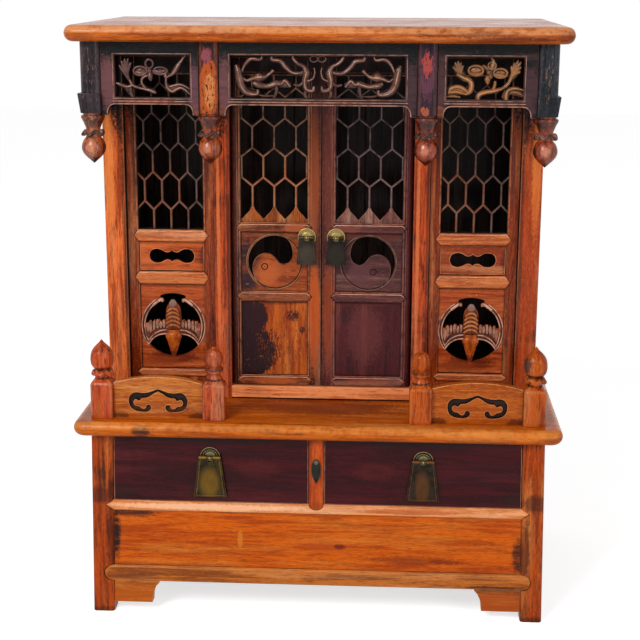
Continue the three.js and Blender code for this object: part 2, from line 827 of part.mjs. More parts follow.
function batPanel() {
  const [, batBottom, batTop] = bayLevels;
  const centreZ = (batBottom + batTop) / 2;
  const place = ([x, z]) => [bayCentre + x * batRadius, centreZ + z * batRadius];
  const onArc = (radiusShare, from, to, steps) => arc(
    0, 0, radiusShare, THREE.MathUtils.degToRad(from), THREE.MathUtils.degToRad(to), steps);
  const besideHeadShares = [
    ...onArc(0.88, 5, 62, 6).reverse(),
    [0.6, 0.12], [0.4, 0.08], [0.24, 0.14], [0.22, 0.5], [0.15, 0.68], [0, 0.8],
  ];
  const aboveShares = [
    ...onArc(0.97, 67, 113, 5).reverse(),
    ...besideHeadShares,
    ...besideHeadShares.slice(0, -1).reverse().map(([x, z]) => [-x, z]),
  ];
  const belowShares = [
    ...onArc(0.98, 273, 321, 5), [0.73, -0.53], [0.58, -0.38], [0.42, -0.31], [0.25, -0.29],
  ];
  const panel = rectangle(
    bayOpeningLeft + seatGap, batBottom + seatGap, bayOpeningRight - seatGap, batTop - seatGap);
  panel.holes.push(outline(aboveShares.map(place)));
  panel.holes.push(outline(belowShares.map(place)));
  panel.holes.push(outline(belowShares.map(([x, z]) => place([-x, z]))));
  const body = turned(scaledProfile(batBodyShares, batBodyRadius, batRadius), 12)
    .scale(1, batRelief / batBodyRadius, 1)
    .translate(bayCentre, leafFront + insetPanelRecess, centreZ);
  return joined(insetBoard(panel), body);
}

const doorLeft = runningGap;
const doorOpeningLeft = doorLeft + doorMeetingStile;
const doorOpeningRight = doorPivotX + doorThickness / 2 - doorOuterStile;
const doorTop = headRailBottom - runningGap;
const doorLevels = stack(sillHeight + runningGap,
  [doorBottomRail, doorLowerPanel, doorMiddleRail, taijiPanelHeight, doorUpperRail]);

function door() {
  const [bottom, lowerBottom, lowerTop, taijiBottom, taijiTop, latticeBottom] = doorLevels;
  const latticeTop = doorTop - leafTopRail;
  const plan = new THREE.Shape();
  plan.moveTo(doorLeft, leafFront);
  plan.absarc(doorPivotX, doorPivotY, doorThickness / 2, -Math.PI / 2, Math.PI / 2);
  plan.lineTo(doorLeft, leafFront + doorThickness);
  const openings = [[lowerBottom, lowerTop], [taijiBottom, taijiTop], [latticeBottom, latticeTop]]
    .map(([openBottom, openTop]) => rectangle(doorOpeningLeft, openBottom, doorOpeningRight, openTop));
  const frame = cut(
    upright(plan, bottom, doorTop - bottom, 16),
    frontBoard(openings, leafFront - cutOverrun, doorThickness + 2 * cutOverrun));
  const lowerPanel = rectangle(
    doorOpeningLeft - grooveDepth, lowerBottom - grooveDepth,
    doorOpeningRight + grooveDepth, lowerTop + grooveDepth);
  const bar = (barBottom, barTop) => railBar(doorOpeningLeft, doorOpeningRight, barBottom, barTop);
  const pins = rod(doorPinRadius, bottom - doorPinLength, doorTop - bottom + 2 * doorPinLength)
    .translate(doorPivotX, doorPivotY, 0);
  return joined(
    frame,
    pins,
    insetBoard(lowerPanel),
    lattice(doorOpeningLeft, doorOpeningRight, latticeBottom, latticeTop, doorLatticeStart, doorHexagonPitch),
    bar(bottom, lowerBottom),
    bar(lowerTop, taijiBottom),
    bar(taijiTop, latticeBottom),
  );
}

// The taiji panel is pierced by one comma with a blunt tail, and its other comma stays as wood
function taijiPanel() {
  const [, , , taijiBottom, taijiTop] = doorLevels;
  const centreX = (doorOpeningLeft + doorOpeningRight) / 2 - taijiPanelOffset;
  const centreZ = (taijiBottom + taijiTop) / 2;
  const radius = taijiRadius - taijiRim;
  const headAngle = THREE.MathUtils.degToRad(180 - taijiTurn);
  const tailAngle = headAngle - Math.PI;
  const blunt = THREE.MathUtils.degToRad(taijiTailAngle);
  const lobeX = (radius / 2) * Math.cos(headAngle);
  const lobeZ = (radius / 2) * Math.sin(headAngle);
  const comma = [
    ...arc(centreX, centreZ, radius, headAngle, tailAngle + blunt, 24),
    ...arc(centreX - lobeX, centreZ - lobeZ, radius / 2, tailAngle + 2 * blunt, headAngle, 12),
    ...arc(centreX + lobeX, centreZ + lobeZ, radius / 2, tailAngle, tailAngle - Math.PI, 14).slice(1, -1),
  ];
  const panel = rectangle(
    doorOpeningLeft + seatGap, taijiBottom + seatGap, doorOpeningRight - seatGap, taijiTop - seatGap);
  panel.holes.push(outline(comma));
  return frontBoard(panel, leafFront + insetPanelRecess, insetPanelThickness);
}

const doorPullX = doorLeft + doorMeetingStile + runningGap;
const doorPullZ = doorLevels[4] - railBarPoint + runningGap;
const doorPullY = leafFront - railBarProud - seatGap;

const cabinet = new THREE.Group();
cabinet.position.z = tableHeight;
for (const [word, side] of sides) {
  const frontPost = upright(reededPlan(postWidth, postWidth, 2, postReedSag), seatGap, postLength, 4);
  add(cabinet, `cabinet_post_front_${word}`, frontPost, orangeLacquer(),
    side * postCentreX, cabinetFront + postWidth / 2);
  const backPost = upright(roundedRectangle(postWidth, postWidth, postEdgeRadius), seatGap, postLength);
  add(cabinet, `cabinet_post_back_${word}`, backPost, orangeLacquer(),
    side * postCentreX, cabinetBack - postWidth / 2);
  add(cabinet, `cabinet_post_inner_${word}`, onSide(side, innerPost()), orangeLacquer());
  add(cabinet, `cabinet_side_${word}`, onSide(side, cabinetSide()), redBrownLacquer());
  add(cabinet, `bay_frame_${word}`, onSide(side, bayFrame()), redBrownLacquer());
  add(cabinet, `bay_bat_panel_${word}`, onSide(side, batPanel()), redBrownLacquer());
  const doorFinish = side < 0 ? redBrownLacquer() : maroonLacquer();
  add(cabinet, `door_${word}`, onSide(side, door()), doorFinish);
  add(cabinet, `door_taiji_panel_${word}`, onSide(side, taijiPanel()), doorFinish.clone());
  const pullPlace = [side * doorPullX, doorPullY, doorPullZ];
  add(cabinet, `door_plate_${word}`, pullPlate(doorPullSizes), brass(), ...pullPlace);
  add(cabinet, `door_pull_${word}`, pull(doorPullSizes), darkBrass(), ...pullPlace);
}
add(cabinet, 'sill_rail',
  cabinetRail(seatGap, sillHeight - seatGap, doorLevels[0] - doorPinLength - seatGap), orangeLacquer());
add(cabinet, 'head_rail',
  cabinetRail(headRailBottom, headRailHeight - seatGap, headRailBottom - cutOverrun), blackLacquer());
add(cabinet, 'cabinet_back', cabinetBackBoards(), bareWood());

// Porch: hanging posts and friezes under the top board, newels and balustrade below

// Turned outlines, each as shares of its radius and its height
const dropShares = [
  [0, 0], [0.3, 0.04], [0.85, 0.19], [1, 0.3], [0.9, 0.42], [0.58, 0.51], [0.6, 0.57],
  [0.98, 0.62], [0.98, 0.69], [0.66, 0.74], [0.7, 0.8], [0.97, 0.91], [0.8, 0.95], [0.8, 1.02], [0, 1.02],
];
const budFinialShares = [
  [0, -0.04], [0.8, -0.04], [0.76, 0.04], [0.62, 0.1], [0.62, 0.15], [0.98, 0.19], [0.98, 0.26],
  [0.62, 0.31], [0.7, 0.36], [0.95, 0.48], [1, 0.57], [0.84, 0.75], [0.4, 0.92], [0, 1],
];
const ballFinialShares = [
  [0, -0.04], [0.95, -0.04], [0.9, 0.05], [0.74, 0.14], [0.74, 0.22], [1, 0.26], [1, 0.37],
  [0.76, 0.41], [0.8, 0.47], [0.92, 0.6], [0.92, 0.74], [0.7, 0.87], [0.3, 0.93], [0.24, 1], [0, 1],
];

const hangingPostFoot = cabinetHeight - hangingPostLength;

function hangingPost() {
  const body = upright(
    roundedRectangle(hangingPostWidth, hangingPostWidth, hangingPostEdgeRadius),
    hangingPostFoot, hangingPostLength - seatGap);
  const drop = turned(scaledProfile(dropShares, dropRadius, dropHeight))
    .translate(0, 0, hangingPostFoot - dropHeight);
  return joined(body, drop);
}

// The outer posts have a collar that flares to the front and to the outer side only
function collaredPost() {
  const half = hangingPostWidth / 2;
  const flare = outline([
    [-half, hangingPostFoot],
    [half, hangingPostFoot],
    [half + collarProud, hangingPostFoot + collarHeight],
    [-half, hangingPostFoot + collarHeight],
  ]);
  const width = 2 * (half + collarProud);
  const outward = toSolid(frontBoard(flare, -width / 2, width));
  const forward = toSolid(sideBoard(flare, -width / 2, width).rotateZ(Math.PI));
  return joined(hangingPost(), toGeometry(outward.intersect(forward)));
}

function newel(shares, radius, height) {
  const body = upright(
    roundedRectangle(newelWidth, newelWidth, newelEdgeRadius), seatGap, newelBodyHeight - seatGap);
  const finial = turned(scaledProfile(shares, radius, height)).translate(0, 0, newelBodyHeight);
  return joined(body, finial);
}

// A curved limb of a carving: its middle line and half-widths are shares of the panel
function limb(pointShares, place, scale) {
  const middle = new THREE.SplineCurve(pointShares.map(([x, z]) => new THREE.Vector2(...place(x, z))));
  const widths = pointShares.map(([, , width]) => width * scale);
  const steps = 3 * (pointShares.length - 1);
  const sideOf = (sign) => Array.from({ length: steps + 1 }, (_, i) => {
    const share = i / steps;
    const at = middle.getPoint(share);
    const along = middle.getTangent(share);
    const slot = Math.min(share * (widths.length - 1), widths.length - 1 - weldDistance);
    const near = Math.floor(slot);
    const halfWidth = widths[near] + (widths[near + 1] - widths[near]) * (slot - near);
    return [at.x - sign * along.y * halfWidth, at.y + sign * along.x * halfWidth];
  });
  return outline([...sideOf(-1), ...sideOf(1).reverse()]);
}

// Limbs as [across, up, half-width] shares of the opening, half-widths as shares of its height
const flowerLimbShares = [
  [[0.24, -0.05, 0.04], [0.21, 0.2, 0.05], [0.19, 0.4, 0.04], [0.15, 0.62, 0.1], [0.13, 0.84, 0.05]],
  [[0.04, 0.3, 0.02], [0.12, 0.25, 0.04], [0.22, 0.2, 0.03]],
  [[0.2, 0.36, 0.03], [0.28, 0.22, 0.04], [0.4, 0.18, 0.035], [0.55, 0.08, 0.05], [0.6, -0.05, 0.02]],
  [[0.39, 0.2, 0.03], [0.36, 0.34, 0.04], [0.42, 0.5, 0.04], [0.47, 0.62, 0.06]],
  [[0.25, 0.56, 0.05], [0.33, 0.57, 0.09], [0.47, 0.6, 0.05]],
  [[0.47, 0.6, 0.05], [0.61, 0.59, 0.09], [0.7, 0.58, 0.05]],
  [[0.47, 0.36, 0.06], [0.47, 0.6, 0.09], [0.46, 0.86, 0.05]],
  [
    [0.62, 0.58, 0.03], [0.68, 0.43, 0.035], [0.78, 0.52, 0.05],
    [0.84, 0.72, 0.05], [0.93, 0.88, 0.02], [1.02, 0.93, 0.02],
  ],
  [[0.68, 0.44, 0.03], [0.69, 0.24, 0.04], [0.76, 0.14, 0.05], [0.88, 0.2, 0.05], [1.02, 0.06, 0.03]],
];
const scrollLimbShares = [
  [
    [0.03, 0.74, 0.05], [0.05, 0.5, 0.09], [0.09, 0.2, 0.08],
    [0.17, 0.06, 0.05], [0.27, 0.03, 0.03], [0.33, -0.05, 0.02],
  ],
  [[0.06, 0.55, 0.04], [0.09, 0.8, 0.06], [0.17, 0.92, 0.05], [0.2, 1.05, 0.02]],
  [[0.06, 0.42, 0.03], [0.12, 0.4, 0.05], [0.17, 0.5, 0.1], [0.25, 0.62, 0.04]],
  [[0.24, 1.05, 0.03], [0.27, 0.84, 0.05], [0.33, 0.62, 0.05], [0.4, 0.52, 0.05], [0.45, 0.6, 0.08]],
  [
    [0.36, 1.05, 0.03], [0.38, 0.86, 0.05], [0.43, 0.72, 0.06], [0.44, 0.45, 0.08],
    [0.41, 0.25, 0.06], [0.46, 0.1, 0.06], [0.47, -0.05, 0.04],
  ],
  [
    [0.16, 0.5, 0.05], [0.15, 0.24, 0.05], [0.24, 0.34, 0.05],
    [0.31, 0.36, 0.07], [0.35, 0.2, 0.04], [0.43, 0.22, 0.03],
  ],
];
const pearlShares = [[0.5, 1.05, 0.06], [0.5, 0.84, 0.12], [0.5, 0.7, 0.05]];

function friezeOutline(left, right) {
  const top = cabinetHeight - seatGap;
  const arch = top - friezeTopRail - friezeOpeningHeight - friezeBottomRail;
  const foot = arch - friezeCornerDrop;
  const shape = new THREE.Shape();
  shape.moveTo(left, top);
  shape.lineTo(left, foot);
  shape.lineTo(left + friezeFoot, foot);
  shape.quadraticCurveTo(left + friezeFoot, arch, left + friezeFoot + friezeCornerRun, arch);
  shape.lineTo(right - friezeFoot - friezeCornerRun, arch);
  shape.quadraticCurveTo(right - friezeFoot, arch, right - friezeFoot, foot);
  shape.lineTo(right, foot);
  shape.lineTo(right, top);
  return shape;
}

const porchPostY = frontEdge + hangingPostSetback + hangingPostWidth / 2;
const friezeOpeningTop = cabinetHeight - seatGap - friezeTopRail;
const friezeOpeningBottom = friezeOpeningTop - friezeOpeningHeight;

function frieze(left, right, leftStile, rightStile, limbTables) {
  const openLeft = left + leftStile;
  const openRight = right - rightStile;
  const shape = friezeOutline(left, right);
  shape.holes.push(rectangle(openLeft, friezeOpeningBottom, openRight, friezeOpeningTop));
  const place = (x, z) =>
    [openLeft + x * (openRight - openLeft), friezeOpeningBottom + z * friezeOpeningHeight];
  const frame = frontBoard(shape, porchPostY - friezeThickness / 2, friezeThickness);
  const carvings = limbTables.map((table) =>
    frontBoard(limb(table, place, friezeOpeningHeight), porchPostY - carvingThickness / 2, carvingThickness));
  return joined(frame, ...carvings);
}

function sideFrieze() {
  const front = porchPostY + hangingPostWidth / 2 + seatGap;
  const back = cabinetFront - seatGap;
  const left = porchOuterX - friezeThickness / 2;
  const board = sideBoard(friezeOutline(front, back), left, friezeThickness);
  const recess = sideBoard(
    rectangle(front + friezeStile, friezeOpeningBottom, back - friezeStile, friezeOpeningTop),
    left + friezeThickness - sideFriezeRecess, sideFriezeRecess + cutOverrun);
  return cut(board, recess);
}

// The cloud groove is one limb that curls in at both ends
const cloudHalfShares = [
  [0, 1.03], [0.32, 0.82], [0.72, 0.86], [0.95, 0.62], [0.88, 0.22],
  [0.55, 0.04], [0.27, 0.1], [0.24, 0.3], [0.36, 0.36],
];

function balustrade() {
  const left = porchInnerX + newelWidth / 2 + seatGap;
  const right = porchOuterX - newelWidth / 2 - seatGap;
  const middle = (left + right) / 2;
  const front = frontEdge + newelSetback + (newelWidth - balustradeThickness) / 2;
  const shape = new THREE.Shape();
  shape.moveTo(left, seatGap);
  shape.lineTo(right, seatGap);
  shape.lineTo(right, balustradeSideHeight);
  shape.quadraticCurveTo(middle, balustradeSideHeight + 2 * balustradeRise, left, balustradeSideHeight);
  const place = (x, z) => [middle + x * cloudHalfWidth, cloudLift + z * cloudHeight];
  const cloudShares = [
    ...cloudHalfShares.slice(1).reverse().map(([x, z]) => [-x, z]),
    ...cloudHalfShares,
  ].map(([x, z]) => [x, z, 1]);
  const groove = frontBoard(
    limb(cloudShares, place, cloudGroove / 2), front - cutOverrun, cloudGroove + cutOverrun);
  return cut(frontBoard(shape, front, balustradeThickness, 0, 10), groove);
}

const porch = new THREE.Group();
porch.position.z = tableHeight;
const newelY = frontEdge + newelSetback + newelWidth / 2;
const friezeInnerEdge = porchInnerX + hangingPostWidth / 2 + seatGap;
const friezeOuterEdge = porchOuterX - hangingPostWidth / 2 - seatGap;
const friezeCentreEdge = porchInnerX - hangingPostWidth / 2 - seatGap;
for (const [word, side] of sides) {
  add(porch, `hanging_post_outer_${word}`, onSide(side, collaredPost()), blackLacquer(),
    side * porchOuterX, porchPostY);
  add(porch, `hanging_post_inner_${word}`, hangingPost(), orangeLacquer(), side * porchInnerX, porchPostY);
  const flowerFrieze = mirrored(
    frieze(-friezeOuterEdge, -friezeInnerEdge, friezeOuterStile, friezeStile, flowerLimbShares));
  add(porch, `frieze_${word}`, onSide(side, flowerFrieze), blackLacquer());
  add(porch, `frieze_side_${word}`, onSide(side, sideFrieze()), blackLacquer());
  add(porch, `newel_outer_${word}`, newel(budFinialShares, outerFinialRadius, outerFinialHeight),
    redBrownLacquer(), side * porchOuterX, newelY);
  add(porch, `newel_inner_${word}`, newel(ballFinialShares, innerFinialRadius, innerFinialHeight),
    redBrownLacquer(), side * porchInnerX, newelY);
  add(porch, `balustrade_${word}`, onSide(side, balustrade()), lightLacquer());
}
const flippedScrolls = scrollLimbShares.map((table) => table.map(([x, z, width]) => [1 - x, z, width]));
add(porch, 'frieze_centre',
  frieze(-friezeCentreEdge, friezeCentreEdge, friezeCentreStile, friezeCentreStile,
    [...scrollLimbShares, ...flippedScrolls, pearlShares]),
  blackLacquer());
add(porch, 'top_board', wideBoard(topBoardWidth), orangeLacquer(), 0, 0, cabinetHeight);

const shrine = new THREE.Group();
shrine.add(base, cabinet, porch);
export default shrine;
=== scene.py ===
# Chinese ancestor shrine of lacquered softwood, dressed for its picture: a base with two
# drawers, a cabinet with lattice doors and bays, and a carved porch under a wide top board.
# Metres, X to the right, Y to the back, Z up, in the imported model's frame.
import math

import bmesh
import bpy
from mathutils import Matrix, Vector


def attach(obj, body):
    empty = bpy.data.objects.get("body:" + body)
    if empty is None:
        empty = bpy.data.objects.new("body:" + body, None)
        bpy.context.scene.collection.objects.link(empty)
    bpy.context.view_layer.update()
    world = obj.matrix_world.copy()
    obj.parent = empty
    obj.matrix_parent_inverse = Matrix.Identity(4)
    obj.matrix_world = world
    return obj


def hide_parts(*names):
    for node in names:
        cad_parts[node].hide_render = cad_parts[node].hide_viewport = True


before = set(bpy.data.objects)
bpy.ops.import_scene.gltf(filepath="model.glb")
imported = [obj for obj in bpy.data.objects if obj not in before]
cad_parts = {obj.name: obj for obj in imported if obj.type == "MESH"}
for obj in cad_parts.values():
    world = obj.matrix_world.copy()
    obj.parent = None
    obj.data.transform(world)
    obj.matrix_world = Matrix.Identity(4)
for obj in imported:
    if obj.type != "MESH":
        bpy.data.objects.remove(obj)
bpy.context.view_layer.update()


# Camera: a long lens a little above the top board and right of the middle, as in the
# photograph, turned slightly down and to the left.
camera_place = Vector((0.1252, -2.4391, 1.0765))
camera_yaw = 0.05375
camera_pitch = 0.24152
camera_roll = 0.00371
camera_lens = 78.75
camera_film = 36.0
camera_near, camera_far = 0.1, 50.0

camera_data = bpy.data.cameras.new("shrine_camera")
camera_data.lens = camera_lens
camera_data.sensor_width = camera_film
camera_data.clip_start = camera_near
camera_data.clip_end = camera_far
camera = bpy.data.objects.new("shrine_camera", camera_data)
camera_turn = (
    Matrix.Rotation(camera_yaw, 4, "Z")
    @ Matrix.Rotation(math.pi / 2 - camera_pitch, 4, "X")
    @ Matrix.Rotation(camera_roll, 4, "Z"))
camera.matrix_world = Matrix.Translation(camera_place) @ camera_turn
bpy.context.scene.collection.objects.link(camera)
bpy.context.scene.camera = camera
bpy.context.scene.view_settings.view_transform = "Standard"


# Studio: a plain white floor that keeps the shrine's shadow, a white surround that the
# glossy lacquer and the brass reflect, and two large soft lamps high in front.
plain_white = (1.0, 1.0, 1.0, 1.0)
floor_white = (0.80, 0.80, 0.80, 1.0)
floor_rough, floor_specular = 0.9, 0.1
floor_half = 9.0
floor_lift = 0.68
surround_light = 0.34
key_place = (-1.5, -2.7, 2.5)
key_size = 1.3
key_watts = 78.0
fill_place = (2.3, -2.6, 1.5)
fill_size = 1.8
fill_watts = 32.0
lamp_target = Vector((0.0, 0.0, 0.5))


def add_node(tree, kind, sockets=(), **settings):
    """One node of a material or of a geometry tree, with its sockets joined or set."""
    node = tree.nodes.new(kind)
    for key, value in settings.items():
        setattr(node, key, value)
    for key, value in dict(sockets).items():
        if isinstance(value, bpy.types.NodeSocket):
            tree.links.new(value, node.inputs[key])
        else:
            node.inputs[key].default_value = value
    return node


def made(tree, kind, sockets=(), **settings):
    """What a new node gives at its first output."""
    return add_node(tree, kind, sockets, **settings).outputs[0]


def work(tree, how, *values):
    """A sum, product or other step on numbers."""
    return made(tree, "ShaderNodeMath", dict(enumerate(values)), operation=how)


def seen_directly(tree):
    """One where the camera, a gloss or a glass looks straight at the surface, else zero."""
    path = add_node(tree, "ShaderNodeLightPath").outputs
    gloss = work(tree, "MAXIMUM", path["Is Camera Ray"], path["Is Glossy Ray"])
    return work(tree, "MAXIMUM", gloss, path["Is Transmission Ray"])


world = bpy.data.worlds.new("studio_surround")
world.use_nodes = True
world_tree = world.node_tree
world_strength = made(
    world_tree, "ShaderNodeMapRange",
    {"Value": seen_directly(world_tree), "To Min": surround_light, "To Max": 1.0})
world_tree.nodes["Background"].inputs["Color"].default_value = plain_white
world_tree.links.new(world_strength, world_tree.nodes["Background"].inputs["Strength"])
bpy.context.scene.world = world


def soft_lamp(name, place, size, watts):
    """A square soft lamp that looks at the middle of the shrine."""
    lamp_data = bpy.data.lights.new(name, "AREA")
    lamp_data.size = size
    lamp_data.energy = watts
    lamp = bpy.data.objects.new(name, lamp_data)
    look = lamp_target - Vector(place)
    lamp.matrix_world = Matrix.Translation(place) @ look.to_track_quat("-Z", "Y").to_matrix().to_4x4()
    bpy.context.scene.collection.objects.link(lamp)


soft_lamp("key_lamp", key_place, key_size, key_watts)
soft_lamp("fill_lamp", fill_place, fill_size, fill_watts)

floor_mesh = bpy.data.meshes.new("studio_floor")
floor_mesh.from_pydata(
    [(x * floor_half, y * floor_half, 0.0) for x, y in ((-1, -1), (1, -1), (1, 1), (-1, 1))], [],
    [(0, 1, 2, 3)])
floor = bpy.data.objects.new("studio_floor", floor_mesh)
bpy.context.scene.collection.objects.link(floor)
floor_paint = bpy.data.materials.new("studio_floor_white")
floor_paint.use_nodes = True
floor_tree = floor_paint.node_tree
floor_shader = floor_tree.nodes["Principled BSDF"]
floor_shader.inputs["Base Color"].default_value = floor_white
floor_shader.inputs["Roughness"].default_value = floor_rough
floor_shader.inputs["Specular IOR Level"].default_value = floor_specular
floor_shader.inputs["Emission Color"].default_value = plain_white
floor_glow = work(floor_tree, "MULTIPLY", seen_directly(floor_tree), floor_lift)
floor_tree.links.new(floor_glow, floor_shader.inputs["Emission Strength"])
floor_mesh.materials.append(floor_paint)


# Base legs: four square posts of softwood with eased corners, leaning a little outwards.
# They are coated with a thin clear orange lacquer over the bare grain, which has gone
# brown at the edges and dark in the grain, and the front pair is notched for the rails.
leg_orange = "ae4204"
leg_brown = "7e2c04"
leg_dark = "34120a"
leg_pale = "d98a48"
leg_edge = 0.0022
grain_scales = {"x": (7.0, 95.0, 95.0), "y": (95.0, 7.0, 95.0), "z": (95.0, 95.0, 7.0)}
flake_scales = {"x": (60.0, 210.0, 210.0), "y": (210.0, 60.0, 210.0), "z": (210.0, 210.0, 60.0)}
smooth_below = math.radians(38)
smooth_turned = math.radians(50)
smooth_carved = math.radians(60)
flat_within = math.radians(1.0)
joined_within = 2e-5
shading_weight = 90
lacquer_specular, lacquer_coat_rough = 0.06, 0.16
lacquer_relief, lacquer_relief_depth = 0.35, 0.0006
sides = (("left", -1), ("right", 1))


def tint(code):
    """A colour written as on a paint card, for the shader."""
    shares = [int(code[i:i + 2], 16) / 255 for i in (0, 2, 4)]
    return tuple(((c + 0.055) / 1.055) ** 2.4 if c > 0.04045 else c / 12.92 for c in shares) + (1.0,)


def between(tree, value, low, high, to_low=0.0, to_high=1.0):
    """The value eased from to_low at low to to_high at high."""
    return made(
        tree, "ShaderNodeMapRange",
        {"Value": value, "From Min": low, "From Max": high, "To Min": to_low, "To Max": to_high},
        interpolation_type="SMOOTHSTEP")


def lay_over(tree, share, under, over):
    """One colour laid over another in the given share."""
    under, over = (tint(colour) if isinstance(colour, str) else colour for colour in (under, over))
    return add_node(tree, "ShaderNodeMix", {0: share, 6: under, 7: over}, data_type="RGBA").outputs[2]


def cloud(tree, place, scale, detail=4.0, rough=0.55, bend=0.0):
    """A noise pattern on the given coordinates."""
    return made(
        tree, "ShaderNodeTexNoise",
        {"Vector": place, "Scale": scale, "Detail": detail, "Roughness": rough, "Distortion": bend})


def patch_share(tree, place, ripple, centre, reach):
    """How strongly a stain round a centre shows, with a ragged rim."""
    offset = made(tree, "ShaderNodeVectorMath", {0: place, 1: centre}, operation="SUBTRACT")
    scaled = made(tree, "ShaderNodeVectorMath", {0: offset, 1: reach}, operation="DIVIDE")
    length = add_node(tree, "ShaderNodeVectorMath", {0: scaled}, operation="LENGTH").outputs["Value"]
    return between(tree, work(tree, "MULTIPLY_ADD", ripple, -0.9, length), 0.05, 0.55, 1.0, 0.0)


def plain_shader(name):
    """A new material with its tree, its shader, the piece's own coordinates and its wear."""
    material = bpy.data.materials.new(name)
    material.use_nodes = True
    tree = material.node_tree
    spot = add_node(tree, "ShaderNodeTexCoord").outputs["Object"]
    rubbed = add_node(tree, "ShaderNodeAttribute", attribute_name="rubbed").outputs["Fac"]
    return material, tree, tree.nodes["Principled BSDF"], spot, rubbed


def old_lacquer(name, ground, streak, stain, worn, grain="x", stains=0.35, chips=0.3, gloss=0.34, edges=0.8,
                patches=(), seed=0.0, glaze=0.12, flaked=()):
    """Worn lacquer on wood: grain streaks, clouds of stain, flakes, chips and rubbed edges."""
    material, tree, shader, spot, rubbed = plain_shader(name)
    shader.inputs["Specular IOR Level"].default_value = lacquer_specular
    shader.inputs["Coat Weight"].default_value = glaze
    shader.inputs["Coat Roughness"].default_value = lacquer_coat_rough
    shifted = made(tree, "ShaderNodeMapping", {0: spot, 1: (seed, seed * 1.7, seed * 0.6)})
    along = made(tree, "ShaderNodeMapping", {0: shifted, 3: grain_scales[grain]})
    figure = cloud(tree, along, 1.0, 6.0, 0.62, 0.9)
    pores = cloud(tree, along, 6.5, 3.0, 0.6)
    fine_pores = cloud(tree, along, 15.0, 2.0, 0.5)
    clouds = cloud(tree, shifted, 11.0, 5.0, 0.6, 0.5)
    flecks = cloud(tree, shifted, 210.0, 3.0, 0.6)
    light = cloud(tree, along, 0.45, 4.0, 0.6)
    colour = lay_over(tree, between(tree, figure, 0.42, 0.60), ground, streak)
    colour = lay_over(tree, between(tree, light, 0.50, 0.72, 0.0, 0.45), colour, worn)
    colour = lay_over(tree, between(tree, pores, 0.50, 0.68, 0.0, 0.65), colour, streak)
    colour = lay_over(tree, between(tree, pores, 0.58, 0.74, 0.0, 0.75), colour, stain)
    colour = lay_over(tree, between(tree, fine_pores, 0.30, 0.42, 0.30, 0.0), colour, worn)
    colour = lay_over(tree, between(tree, fine_pores, 0.58, 0.70, 0.0, 0.55), colour, stain)
    mottled = work(tree, "MULTIPLY_ADD", figure, 0.55, clouds)
    colour = lay_over(tree, between(tree, mottled, 1.02 - 0.42 * stains, 1.16 - 0.34 * stains, 0.0, 0.85),
                      colour, stain)
    for centre, reach, code, strength in patches:
        share = work(tree, "MULTIPLY", patch_share(tree, spot, flecks, centre, reach), strength)
        share = work(tree, "MULTIPLY", share, between(tree, figure, 0.30, 0.52, 0.55, 1.0))
        colour = lay_over(tree, share, colour, code)
    flake_place = made(tree, "ShaderNodeMapping", {0: shifted, 3: flake_scales[grain]})
    flakes = cloud(tree, flake_place, 1.7, 6.0, 0.74) if flaked else None
    for centre, reach, code, cover in flaked:
        share = patch_share(tree, spot, clouds, centre, reach)
        left_on = work(tree, "MULTIPLY_ADD", share, 0.42 * cover, flakes)
        left_on = work(
            tree, "MULTIPLY", between(tree, left_on, 0.60, 0.65), between(tree, share, 0.0, 0.10))
        colour = lay_over(tree, left_on, colour, code)
    bare = work(
        tree, "MULTIPLY", between(tree, flecks, 0.66, 0.72), between(tree, clouds, 0.46, 0.66, 0.0, chips))
    colour = lay_over(tree, bare, colour, worn)
    ragged = work(
        tree, "MULTIPLY", rubbed,
        between(tree, cloud(tree, shifted, 75.0, 4.0, 0.65), 0.34, 0.58, 0.15, edges))
    colour = lay_over(tree, ragged, colour, worn)
    tree.links.new(colour, shader.inputs["Base Color"])
    rough = between(tree, mottled, 0.55, 1.1, gloss - 0.06, gloss + 0.16)
    tree.links.new(rough, shader.inputs["Roughness"])
    height = work(tree, "MULTIPLY_ADD", pores, 0.35, figure)
    worn_down = work(tree, "MULTIPLY_ADD", bare, -0.8, height)
    bump = made(
        tree, "ShaderNodeBump",
        {"Height": worn_down, "Strength": lacquer_relief, "Distance": lacquer_relief_depth})
    tree.links.new(bump, shader.inputs["Normal"])
    return material


def rubbed_layer(mesh):
    """Where a mesh keeps how far the lacquer or brass is rubbed away."""
    return mesh.verts.layers.float.get("rubbed") or mesh.verts.layers.float.new("rubbed")


def cad_copy(node):
    """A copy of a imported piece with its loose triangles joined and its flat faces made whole."""
    mesh = bmesh.new()
    mesh.from_mesh(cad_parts[node].data)
    bmesh.ops.remove_doubles(mesh, verts=mesh.verts, dist=joined_within)
    bmesh.ops.dissolve_limit(mesh, angle_limit=flat_within, verts=mesh.verts, edges=mesh.edges)
    return mesh


def ease_edges(mesh, width, from_angle=30):
    """Rounds the arrises and marks them, because the lacquer is rubbed off there first."""
    rubbed = rubbed_layer(mesh)
    arrises = [
        edge for edge in mesh.edges
        if len(edge.link_faces) == 2 and edge.calc_face_angle() > math.radians(from_angle)
    ]
    rounding = bmesh.ops.bevel(
        mesh, geom=arrises, offset=width, segments=2, profile=0.5, affect="EDGES", clamp_overlap=True)
    strips = set(rounding["faces"])
    for vert in rounding["verts"]:
        if vert.is_valid and all(face in strips for face in vert.link_faces):
            vert[rubbed] = 1.0
    return mesh


